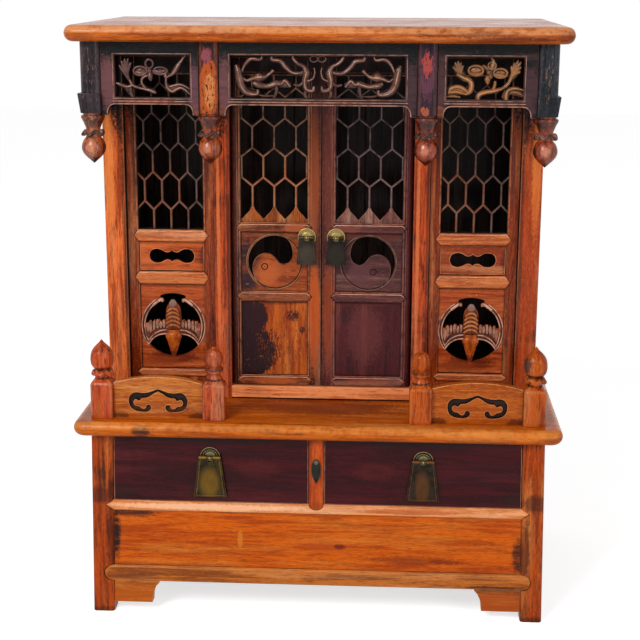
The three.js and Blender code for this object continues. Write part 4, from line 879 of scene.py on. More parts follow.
def hexagon_lattice(name, sizes, material):
    """Bars halved together into long hexagons, clipped where they run into the frame."""
    tree, size = size_tree(name, hexagon_sizes)
    half_upright = work(tree, "MULTIPLY", size["Upright"], 0.5)
    half_pitch = work(tree, "MULTIPLY", size["Pitch"], 0.5)
    slant_end = work(tree, "ADD", half_upright, size["Rise"])
    bottom_joint = point_at(tree, z=work(tree, "MULTIPLY", half_upright, -1.0))
    top_joint = point_at(tree, z=half_upright)
    lines = [made(tree, "GeometryNodeCurvePrimitiveLine", {"Start": bottom_joint, "End": top_joint})]
    for sign in (-1.0, 1.0):
        end = point_at(tree, work(tree, "MULTIPLY", half_pitch, sign), z=slant_end)
        lines.append(made(tree, "GeometryNodeCurvePrimitiveLine", {"Start": top_joint, "End": end}))
    branch = add_node(tree, "GeometryNodeJoinGeometry")
    for line in lines:
        tree.links.new(line, branch.inputs[0])
    middle = work(tree, "MULTIPLY", work(tree, "ADD", size["Left"], size["Right"]), 0.5)
    reach = work(tree, "MULTIPLY", work(tree, "SUBTRACT", size["Columns"], 1), 0.5)
    first_column = work(tree, "SUBTRACT", middle, work(tree, "MULTIPLY", reach, size["Pitch"]))
    columns = made(
        tree, "GeometryNodeMeshLine",
        {"Count": size["Columns"], "Start Location": point_at(tree, first_column),
         "Offset": point_at(tree, size["Pitch"])})
    row = made(
        tree, "GeometryNodeInstanceOnPoints", {"Points": columns, "Instance": branch.outputs[0]})
    row_step = work(tree, "ADD", size["Upright"], size["Rise"])
    rows = made(
        tree, "GeometryNodeMeshLine",
        {"Count": size["Rows"],
         "Start Location": point_at(tree, y=work(tree, "MULTIPLY_ADD", size["Depth"], 0.5, size["Front"]),
                                    z=work(tree, "ADD", size["Bottom"], size["First row"])),
         "Offset": point_at(tree, z=row_step)})
    odd = work(tree, "MODULO", made(tree, "GeometryNodeInputIndex"), 2)
    stepped = made(
        tree, "GeometryNodeSetPosition",
        {"Geometry": rows, "Offset": point_at(tree, work(tree, "MULTIPLY", odd, half_pitch))})
    whole = made(
        tree, "GeometryNodeInstanceOnPoints", {"Points": stepped, "Instance": row})
    whole = made(tree, "GeometryNodeRealizeInstances", {0: whole})
    fine = made(tree, "GeometryNodeResampleCurve", {"Curve": whole, "Length": 0.0008}, mode="LENGTH")
    place = place_parts(tree)
    outside = [
        work(tree, "LESS_THAN", place["X"], work(tree, "SUBTRACT", size["Left"], size["Tuck"])),
        work(tree, "GREATER_THAN", place["X"], work(tree, "ADD", size["Right"], size["Tuck"])),
        work(tree, "LESS_THAN", place["Z"], work(tree, "SUBTRACT", size["Bottom"], size["Tuck"])),
        work(tree, "GREATER_THAN", place["Z"], work(tree, "ADD", size["Top"], size["Tuck"]))]
    beyond = work(
        tree, "ADD", work(tree, "ADD", outside[0], outside[1]), work(tree, "ADD", outside[2], outside[3]))
    clipped = made(
        tree, "GeometryNodeDeleteGeometry", {"Geometry": fine, "Selection": beyond}, domain="POINT")
    stubs = work(tree, "LESS_THAN", add_node(tree, "GeometryNodeSplineLength").outputs["Length"], 0.002)
    clipped = made(
        tree, "GeometryNodeDeleteGeometry", {"Geometry": clipped, "Selection": stubs}, domain="CURVE")
    straight = made(tree, "GeometryNodeResampleCurve", {"Curve": clipped, "Count": 2}, mode="COUNT")
    faced = made(
        tree, "GeometryNodeSetCurveNormal", {"Curve": straight, "Normal": (0.0, -1.0, 0.0)}, mode="FREE")
    section = made(tree, "GeometryNodeCurvePrimitiveCircle", {"Resolution": 12, "Radius": 0.5})
    section = mark_rubbed(tree, section, between(tree, place_parts(tree)["X"], 0.15, 0.5, 0.0, 0.8))
    section = made(
        tree, "GeometryNodeTransform",
        {"Geometry": section, "Scale": point_at(tree, size["Depth"], size["Bar"], 1.0)})
    bars = made(
        tree, "GeometryNodeCurveToMesh",
        {"Curve": faced, "Profile Curve": section, "Fill Caps": True})
    close_tree(tree, bars, material)
    return grow(name, tree, sizes)


def rectangle(left, right, bottom, top):
    """The four corners of an upright rectangle."""
    return [(left, bottom), (right, bottom), (right, top), (left, top)]


def boards(name, places, front, depth, edge, material, slot, body, *replaced):
    """Boards of one frame, each given as left, right, bottom and top, with eased arrises."""
    mesh = bmesh.new()
    for place in places:
        prism(mesh, rectangle(*place), front, depth)
    ease_edges(mesh, edge)
    return set_in_place(name, mesh, material, body, slot, *replaced)


def pointed_bars(name, spans, levels, material, slot, body):
    """Chamfered bars, proud of the frame, whose points lap the stiles."""
    mesh = bmesh.new()
    left, right = spans
    for bottom, top in levels:
        faces = prism(mesh, pointed(left, right, bottom, top), leaf_front - bar_proud, 3 * bar_proud)
        chamfer = bmesh.ops.bevel(
            mesh, geom=list(faces[0].edges), offset=bar_proud * 0.98, segments=1, affect="EDGES")
        ledge = [edge for face in chamfer["faces"] for edge in face.edges
                 if abs(edge.verts[0].co.y - edge.verts[1].co.y) < 1e-6
                 and edge.verts[0].co.y < leaf_front - bar_proud + 1e-5]
        bmesh.ops.bevel(
            mesh, geom=list(dict.fromkeys(ledge)), offset=0.0007, segments=2, profile=0.5, affect="EDGES")
    return set_in_place(name, mesh, material, body, slot)


def pointed(left, right, bottom, top):
    """The outline of a bar that ends in a point over each stile."""
    middle = (bottom + top) / 2
    return [(left, bottom), (right, bottom), (right + bar_point, middle), (right, top), (left, top),
            (left - bar_point, middle)]


def worn_and_lit_ledges(spans, levels):
    """The upper arrises of pointed bars, drawn pale: lacquer rubbed through to pale wood, and a painted
    highlight on the chamfer that faces up.
    """
    left, right = spans
    inner = bar_proud * 1.1
    ledges = []
    for bottom, top in levels:
        end_z = (bottom + 3 * top) / 4 - inner * 0.8
        ledges.append([
            (left - bar_point * 0.5, leaf_front - bar_proud * 0.9, end_z, ledge_end_half),
            (left + 0.001, leaf_front - bar_proud, top - inner, ledge_half),
            (right - 0.001, leaf_front - bar_proud, top - inner, ledge_half),
            (right + bar_point * 0.5, leaf_front - bar_proud * 0.9, end_z, ledge_end_half)])
    return ledges


def flowing(points, steps=6, closed=False):
    """Points on a smooth curve that passes through the given ones."""
    count = len(points)
    smooth = []
    for here in range(count if closed else count - 1):
        if closed:
            before, start, end, after = (points[(here + k) % count] for k in (-1, 0, 1, 2))
        else:
            start, end = points[here], points[here + 1]
            before = points[here - 1] if here else tuple(2 * a - b for a, b in zip(start, end))
            after = points[here + 2] if here + 2 < count else tuple(2 * b - a for a, b in zip(start, end))
        for step in range(steps):
            t = step / steps
            smooth.append(tuple(
                0.5 * (
                    2 * b + (c - a) * t + (2 * a - 5 * b + 4 * c - d) * t ** 2
                    + (3 * b - a - 3 * c + d) * t ** 3)
                for a, b, c, d in zip(before, start, end, after)))
    if not closed:
        smooth.append(tuple(points[-1]))
    return smooth


def pierced_board(outline, holes, front, depth):
    """A thin board sawn to an outline, with fretted holes right through it."""
    mesh = bmesh.new()
    loops = []
    for loop in [outline] + list(holes):
        verts = [mesh.verts.new((x, front, z)) for x, z in loop]
        loops += [mesh.edges.new((verts[i - 1], verts[i])) for i in range(len(verts))]
    filled = bmesh.ops.triangle_fill(mesh, use_beauty=True, use_dissolve=False, edges=loops)
    faces = [item for item in filled["geom"] if isinstance(item, bmesh.types.BMFace)]
    grown = bmesh.ops.extrude_face_region(mesh, geom=faces)["geom"]
    bmesh.ops.translate(
        mesh, verts=[v for v in grown if isinstance(v, bmesh.types.BMVert)], vec=(0, depth, 0))
    bmesh.ops.recalc_face_normals(mesh, faces=mesh.faces)
    bmesh.ops.dissolve_limit(mesh, angle_limit=flat_within, verts=mesh.verts, edges=mesh.edges)
    return mesh


stroke_sizes = {"Height": 0.8, "Groove": 0.0, "Crest": 0.45, "Section": 12}
stroke_trees = {}


def stroke_tree(material):
    """A tree that gives every drawn line a rounded or grooved section, as wide as it was drawn."""
    tree, size = size_tree("carved_" + material.name, stroke_sizes)
    faced = made(
        tree, "GeometryNodeSetCurveNormal", {"Curve": size["Path"], "Normal": (0.0, -1.0, 0.0)},
        mode="FREE")
    section = made(tree, "GeometryNodeCurvePrimitiveCircle", {"Resolution": size["Section"], "Radius": 1.0})
    place = place_parts(tree)
    across = work(tree, "ABSOLUTE", place["Y"])
    dip = work(tree, "MULTIPLY", between(tree, across, 0.0, 0.5, 1.0, 0.0), size["Groove"])
    height = work(tree, "MULTIPLY", size["Height"], work(tree, "SUBTRACT", 1.0, dip))
    crest = work(
        tree, "MULTIPLY", between(tree, place["X"], size["Crest"], 1.0), work(tree, "SUBTRACT", 1.0, dip))
    section = mark_rubbed(tree, section, crest)
    section = made(
        tree, "GeometryNodeSetPosition",
        {"Geometry": section,
         "Position": point_at(tree, work(tree, "MULTIPLY", place["X"], height), place["Y"])})
    swept = made(
        tree, "GeometryNodeCurveToMesh",
        {"Curve": faced, "Profile Curve": section, "Fill Caps": True,
         "Scale": made(tree, "GeometryNodeInputRadius")})
    close_tree(tree, swept, material)
    return tree


def carved(name, strokes, material, slot, body, **sizes):
    """Carved or scratched relief: each stroke is a list of (x, y, z, half-width) points."""
    if material.name not in stroke_trees:
        stroke_trees[material.name] = stroke_tree(material)
    lines = bpy.data.curves.new(name, "CURVE")
    lines.dimensions = "3D"
    for stroke in strokes:
        closed = stroke[0] == stroke[-1]
        points = stroke[:-1] if closed else stroke
        spline = lines.splines.new("POLY")
        spline.use_cyclic_u = closed
        spline.points.add(len(points) - 1)
        for point, (x, y, z, half_width) in zip(spline.points, points):
            point.co = (x, y, z, 1.0)
            point.radius = half_width
    relief = grow(name, stroke_trees[material.name], sizes, lines)
    return set_in_place(name, relief, material, body, slot, smooth=smooth_carved)


def bead_round(outline, y, half_width):
    """A thin bead along an outline of (x, z) points."""
    line = [(x, y, z, half_width) for x, z in outline]
    return line + line[:1]


def slot_outline(centre_x, centre_z):
    """Two round lobes joined by a waist with a cusp above and below."""
    quarter = flowing([(x * slot_half_width, z * slot_half_height) for x, z in slot_quarter], 2)
    right = quarter + [(x, -z) for x, z in reversed(quarter[:-1])]
    whole = right + [(-x, z) for x, z in reversed(right[1:-1])]
    return [(centre_x + x, centre_z + z) for x, z in whole]


# Pale lines on the bars' upper arrises: partly wear through to pale wood, partly a painted highlight.
ledge_lacquer_wear_and_highlight = old_lacquer(
    "bar_ledge_lacquer", "c87c56", "8a4428", "4a2012", "f6c8a8", "x", 0.3, 0.8, 0.26, 0.9)
# Thin dark lines in the joints: partly real grime, partly painted shadow where the parts meet.
joint_grime_and_shadow = old_lacquer(
    "joint_grime_and_shadow", "1c0b08", "140806", "0a0505", "4a2418", "z", 0.4, 0.3, 0.6, 0.2, glaze=0.0)
# A dark line along the foot of the sill: painted shadow in the gap under it, with some grime.
sill_front, sill_foot = -0.0805, 0.3512
carved(
    "sill_joint", [[(x, sill_front - surface_lift, sill_foot, 0.0013) for x in (-0.161, 0.0, 0.161)]],
    joint_grime_and_shadow, "lacquer_orange", "carcass", Height=0.5)


for word, side in sides:
    low, bat_low, bat_high, slot_low, slot_high, grid_low, grid_high, high = bay_levels
    ends = sorted((side * bay_inner, side * bay_outer))
    left, right = ends[0] + bay_stile, ends[1] - bay_stile
    centre_x = side * bay_centre
    # The patch at height 0.975 darkens the top of the frame: painted shade under the porch.
    frame_lacquer_and_shade = old_lacquer(
        "bay_frame_lacquer_" + word, "8c3612", "642008", "240c08", "d88a58", "z", 0.38, 0.4, 0.32, 0.8,
        [((left - 0.003, leaf_front, 0.78), (0.008, 0.02, 0.16), "3a1a1a", 0.7),
         ((right + 0.004, leaf_front, 0.78), (0.008, 0.02, 0.16), "4a2022", 0.6),
         ((centre_x, leaf_front, 0.975), (0.20, 0.04, 0.17), "160c0c", 1.9)], seed=side * 0.77)
    bar_lacquer = old_lacquer(
        "bay_bar_lacquer_" + word, "c8703c", "a04a20", "5c2412", "f2b890", "x", 0.2, 0.4, 0.28, 0.9,
        seed=side * 0.19)
    slot_lacquer = old_lacquer(
        "slot_panel_lacquer_" + word, "c05622" if side < 0 else "8e341a", "84300f", "34100a", "e29664", "x",
        0.3, 0.5, 0.32, 0.8, [((right, leaf_front, 0.60), (0.012, 0.02, 0.03), "3a1512", 0.7)],
        seed=side * 0.37)
    # The two dark patches at the top of the lattice are painted shade under the porch.
    grid_lacquer_and_shade = old_lacquer(
        "bay_lattice_lacquer_" + word, "44302e", "2c1e1e", "160e0e", "8c7064", "z", 0.4, 0.5, 0.40, 0.7,
        [((left + 0.03, leaf_front, 0.70), (0.07, 0.03, 0.09), "8e4a28", 0.8),
         ((centre_x, leaf_front, 0.93), (0.20, 0.03, 0.20), "1e1517", 0.9),
         ((centre_x, leaf_front, 0.96), (0.20, 0.04, 0.12), "0c0808", 1.9)], seed=side * 0.11)
    rails = ((low, bat_low), (bat_high, slot_low), (slot_high, grid_low), (grid_high, high))
    places = [
        (ends[0], left, low, high), (right, ends[1], low, high)] + [(left, right, *rail) for rail in rails]
    paint_inside_shade(boards(
        f"bay_frame_{word}_boards", places, leaf_front, bay_thickness, 0.0008, frame_lacquer_and_shade,
        "lacquer_red_brown", "carcass", f"bay_frame_{word}"))
    bar_levels = [((low + bat_low) / 2, bat_low), (bat_high, slot_low), (slot_high, grid_low)]
    pointed_bars(
        f"bay_frame_{word}_bars", (left, right), bar_levels, bar_lacquer, "lacquer_red_brown", "carcass")
    carved(
        f"bay_frame_{word}_ledges", worn_and_lit_ledges((left, right), bar_levels), ledge_lacquer_wear_and_highlight,
        "lacquer_red_brown", "carcass")
    inset_y = leaf_front + inset_recess
    # Dark lines round the bars and the inset boards and at the frame's ends: painted shadow lines in the
    # joints, with some grime.
    joints = [bead_round(pointed(left, right, *level), leaf_front, 0.0008) for level in bar_levels]
    joints += [bead_round(rectangle(left, right, *level), inset_y, 0.0010)
               for level in ((bat_low, bat_high), (slot_low, slot_high))]
    joints += [[(x, leaf_front - surface_lift, z, 0.0005) for z in (low, high)]
               for x in (ends[0] + 0.0008, ends[1] - 0.0008)]
    carved(f"bay_frame_{word}_joints", joints, joint_grime_and_shadow, "lacquer_red_brown", "carcass", Height=0.5)
    slot_round = slot_outline(centre_x, (slot_low + slot_high) / 2)
    in_grooves = rectangle(
        left - groove_depth, right + groove_depth, slot_low - groove_depth, slot_high + groove_depth)
    slot_board = pierced_board(in_grooves, [slot_round], inset_y, inset_thickness)
    set_in_place(f"slot_panel_{word}", slot_board, slot_lacquer, "carcass", "lacquer_red_brown")
    carved(f"slot_panel_{word}_beads",
           [bead_round(slot_round, inset_y, 0.0007),
            bead_round(rectangle(left + 0.0015, right - 0.0015, slot_low + 0.0015, slot_high - 0.0015),
                       inset_y, 0.0011)],
           slot_lacquer, "lacquer_red_brown", "carcass")
    bay_grid = hexagon_lattice(
        "bay_lattice_" + word,
        {"Left": left, "Right": right, "Bottom": grid_low, "Top": grid_high, "Front": inset_y,
         "First row": bay_first_row, "Pitch": bay_pitch, "Columns": 7}, grid_lacquer_and_shade)
    set_in_place(f"bay_lattice_{word}", bay_grid, grid_lacquer_and_shade, "carcass", "lacquer_black")
    carved(
        f"bay_frame_{word}_beads",
        [bead_round(
             rectangle(left - 0.002, right + 0.002, grid_low - 0.001, grid_high + 0.002), leaf_front,
             0.0010)],
        frame_lacquer_and_shade, "lacquer_red_brown", "carcass")


# Bats: the wish for good fortune, carved from one board. The wings reach round the opening
# and end in two curled horns; a ribbed body with a pointed tail stands in front of them.
bat_radius = 0.0565
bat_z = (bay_levels[1] + bay_levels[2]) / 2
bat_body = ((0, -0.12), (0.78, -0.11), (0.95, -0.04), (1.0, 0.12), (0.99, 0.32), (0.88, 0.49), (0.64, 0.61),
            (0.60, 0.66), (0.50, 0.74), (0.26, 0.83), (0, 0.85))
bat_tail = (
    (0, -0.86), (0.22, -0.76), (0.60, -0.57), (1.0, -0.40), (1.10, -0.33), (1.0, -0.26), (0.80, -0.215),
    (0.80, -0.16), (0.74, -0.125), (0, -0.12))
bat_body_radius = 0.0132
bat_relief = 0.0055


def round_arc(radius, start, end, steps):
    """Points on a circle of the given radius, between two angles in degrees."""
    return [(radius * math.cos(math.radians(start + (end - start) * i / steps)),
             radius * math.sin(math.radians(start + (end - start) * i / steps))) for i in range(steps + 1)]


beside_head = round_arc(0.88, 62, 5, 12) + flowing(
    [(0.78, 0.07), (0.74, 0.16), (0.67, 0.08), (0.60, 0.18), (0.53, 0.10), (0.46, 0.20), (0.39, 0.11),
     (0.32, 0.19), (0.24, 0.14), (0.22, 0.5), (0.15, 0.68), (0.0, 0.8)],
    2)
above_wings = round_arc(1.045, 112, 68, 10) + beside_head + [(-x, z) for x, z in reversed(beside_head[:-1])]
below_wing = round_arc(0.98, 273, 321, 12) + flowing(
    [(0.76, -0.56), (0.66, -0.40), (0.50, -0.31), (0.25, -0.29)], 3)
horn_curl = (
    (0.62, 0.66, 0.055), (0.50, 0.76, 0.055), (0.39, 0.83, 0.06), (0.33, 0.83, 0.06), (0.33, 0.77, 0.04))
wing_rims = (
    [(x, z, 0.024) for x, z in round_arc(0.985, 58, -38, 16)],
    [(x, z, 0.022) for x, z in round_arc(0.895, 55, -14, 12)] + [(0.84, -0.36, 0.022), (0.77, -0.50, 0.02)],
    [(0.78, -0.58, 0.03), (0.66, -0.42, 0.028), (0.52, -0.32, 0.026), (0.38, -0.27, 0.026),
     (0.22, -0.25, 0.03)],
    [(0.76, -0.45, 0.02), (0.64, -0.29, 0.024), (0.50, -0.20, 0.024), (0.38, -0.15, 0.024),
     (0.22, -0.13, 0.026)])
wing_beds = (
    [(x, z, 0.068) for x, z in round_arc(0.935, 57, -34, 16)],
    [(0.80, -0.44, 0.05), (0.68, -0.33, 0.09), (0.54, -0.22, 0.12), (0.38, -0.16, 0.13),
     (0.20, -0.14, 0.13)],
    [(0.80, -0.10, 0.05), (0.68, -0.02, 0.11), (0.54, 0.02, 0.11), (0.38, 0.04, 0.11), (0.24, 0.05, 0.10)])
wing_feathers = ((0.295, -0.03, 0.20), (0.395, -0.04, 0.15), (0.50, -0.06, 0.21), (0.605, -0.10, 0.15),
                 (0.71, -0.17, 0.17), (0.79, -0.25, 0.06))
body_ribs = ((0.53, 0.17), (0.40, 0.20), (0.27, 0.215), (0.14, 0.22), (0.01, 0.215))

for word, side in sides:
    centre_x = side * bay_centre
    left, right = centre_x - bay_opening / 2, centre_x + bay_opening / 2
    low, high = bay_levels[1], bay_levels[2]
    bat_lacquer = old_lacquer(
        "bat_lacquer_" + word, "b45020", "8c3410", "48180a", "e09464", "x", 0.3, 0.7, 0.32, 0.9,
        [((centre_x, leaf_front, bat_z - 0.056), (0.06, 0.02, 0.016), "5e2010", 0.9),
         ((centre_x - 0.02, leaf_front, low + 0.012), (0.04, 0.02, 0.012), "8c3c1c", 0.7)],
        seed=side * 0.51)
    body_lacquer = old_lacquer(
        "bat_body_lacquer_" + word, "7a3418", "4e1e10", "200c08", "c8784c", "z", 0.35, 0.6, 0.32, 0.8,
        [((centre_x, leaf_front, bat_z + 0.043), (0.012, 0.02, 0.009), "8a6a60", 0.9)], seed=side * 0.33)
    tail_lacquer = old_lacquer(
        "bat_tail_lacquer_" + word, "be5a14", "8e3a10", "48180a", "e8a05c", "z", 0.3, 0.6, 0.26, 0.8,
        seed=side * 0.13)
    rib_lacquer = old_lacquer(
        "bat_rib_lacquer_" + word, "9c4a1c", "6e2c12", "36120a", "d08850", "z", 0.35, 0.6, 0.3, 0.7,
        seed=side * 0.17)
    wing_lacquer = old_lacquer(
        "bat_wing_lacquer_" + word, "6c3426", "3c1812", "1c0c0a", "dca488", "z", 0.4, 0.6, 0.34, 1.0,
        seed=side * 0.27)
    wing_shade = old_lacquer(
        "bat_wing_shade_" + word, "42180e", "2a0e0a", "160806", "8a4a30", "z", 0.4, 0.4, 0.4, 0.2,
        seed=side * 0.71)

    def on_bat(points, y):
        """Points given as shares of the round opening, laid on this bat at the given depth."""
        return [
            (centre_x + x * bat_radius, y, bat_z + z * bat_radius, width * bat_radius)
            for x, z, width in points]

    def both_wings(drawn, steps):
        """Each drawn line as a flowing one, on the right wing and on the left."""
        lines = [on_bat(flowing(points, steps), y) for points in drawn]
        return [
            half
            for line in lines
            for half in (line, [(2 * centre_x - line_x, *rest) for line_x, *rest in line])]

    holes = [[(centre_x + sign * x * bat_radius, bat_z + z * bat_radius) for x, z in hole]
             for hole, sign in ((above_wings, 1), (below_wing, 1), (below_wing, -1))]
    rim = rectangle(left + board_gap, right - board_gap, low + board_gap, high - board_gap)
    board = pierced_board(rim, holes, leaf_front + inset_recess, inset_thickness)
    set_in_place(
        f"bat_panel_{word}", board, bat_lacquer, "carcass", "lacquer_red_brown", f"bay_bat_panel_{word}")
    y = leaf_front + inset_recess - 2 * surface_lift
    strokes = both_wings(wing_rims, 2) + both_wings([horn_curl], 4)
    feathers = both_wings(
        [[(x, foot - 0.03, 0.020), (x, foot + 0.02, 0.044), (x, (foot + head) / 2, 0.050),
          (x - 0.004, head - 0.03, 0.034), (x - 0.006, head, 0.008)] for x, foot, head in wing_feathers], 3)
    beds = both_wings(wing_beds, 2)
    carved(f"bat_wings_{word}", strokes, wing_lacquer, "lacquer_red_brown", "carcass", Height=1.0)
    carved(
        f"bat_feathers_{word}", feathers, wing_lacquer, "lacquer_red_brown", "carcass", Height=0.7,
        Groove=0.7)
    carved(f"bat_wing_beds_{word}", beds, wing_shade, "lacquer_red_brown", "carcass", Height=0.06)
    for part, shares, finish in (("body", bat_body, body_lacquer), ("tail", bat_tail, tail_lacquer)):
        form = turn(
            bmesh.new(), [(max(r, 0.0) * bat_body_radius, z * bat_radius) for r, z in flowing(shares, 4)],
            (0, 0, 0), (0, 0, 1), 32)
        for vert in form.verts:
            vert.co = Vector(
                (centre_x + vert.co.x, y + vert.co.y * bat_relief / bat_body_radius, bat_z + vert.co.z))
        bmesh.ops.recalc_face_normals(form, faces=form.faces)
        set_in_place(
            f"bat_{part}_{word}", form, finish, "carcass", "lacquer_red_brown", smooth=smooth_carved)
    ribs = []
    for z, half in body_ribs:
        rib = [(-half, z - 0.07, 0.026), (-half * 0.6, z + 0.005, 0.040), (0, z + 0.045, 0.046),
               (half * 0.6, z + 0.005, 0.040), (half, z - 0.07, 0.026)]
        for_depth = [y - bat_relief * (1 - (x / 0.26) ** 2) ** 0.5 * 0.86 for x, _, _ in flowing(rib, 4)]
        ribs.append([
            (px, depth, pz, pr)
            for (px, _, pz, pr), depth in zip(on_bat(flowing(rib, 4), y), for_depth)])
    eyes = [on_bat([(sign * 0.055, 0.70, 0.014), (sign * 0.055, 0.725, 0.014)], y - bat_relief * 0.62)
            for sign in (1, -1)]
    carved(f"bat_ribs_{word}", ribs + eyes, rib_lacquer, "lacquer_red_brown", "carcass", Height=0.7)


# Doors: two leaves that turn inwards on wooden pins in the sill and the head rail, so the
# heel of each is rounded. Beads run round the openings; a fretted foot carries the lattice.
# The left leaf is worn to orange in its middle; the right one kept its dark maroon coat.
door_meeting = 0.001
door_opening = (0.024, 0.139)
door_levels = (0.374, 0.392, 0.525, 0.543, 0.647, 0.6635, 0.913, 0.943)
door_thickness = 0.020
door_pivot_x, door_pivot_y = 0.146, -0.0645
door_pin_radius, door_pin_length, door_pin_root = 0.004, 0.008, 0.001
door_pitch, door_first_row = 0.0373, 0.0445
foot_rise_shares = (
    (0.5, 0.0055), (0.46, 0.0066), (0.36, 0.0112), (0.24, 0.0158), (0.12, 0.0210), (0.05, 0.0268))
leaf_palettes = {
    "left": {
        "frame": ("401c1a", "2c1412", "180a0a", "c88058"),
        "bars": ("8c4424", "5e2818", "2a120e", "dc9868"),
        "panel": ("b85410", "8c3408", "30120c", "e6984c"),
        "foot": ("a2501f", "743214", "2c140e", "dc9c68"),
        "lattice": ("6e4a3c", "4a2e28", "241614", "b98c70"),
        "disc": ("a0481c", "763010", "34160e", "e2a070"),
    },
    "right": {
        "frame": ("502224", "38181a", "1e0c0e", "ac6c5c"),
        "bars": ("693836", "4a2625", "2a1514", "c08468"),
        "panel": ("4a1418", "360e12", "1c080c", "88443a"),
        "foot": ("7c4a40", "54302c", "2a1614", "c89880"),
        "lattice": ("4c3836", "342624", "1a1212", "8a7474"),
        "disc": ("552c2c", "3e2020", "221212", "a87868"),
    },
}

taiji_rim, taiji_hole, taiji_eye = 0.0486, 0.0464, 0.0052
comma_shares = (
    (0.47, 0.88), (0.60, 0.70), (0.67, 0.47), (0.68, 0.24), (0.58, 0.02), (0.36, -0.11), (0.16, -0.045),
    (0.0, 0.146), (-0.17, 0.27), (-0.387, 0.30), (-0.61, 0.21), (-0.765, 0.02), (-0.825, -0.22),
    (-0.79, -0.47), (-0.72, -0.66), (-0.656, -0.755))

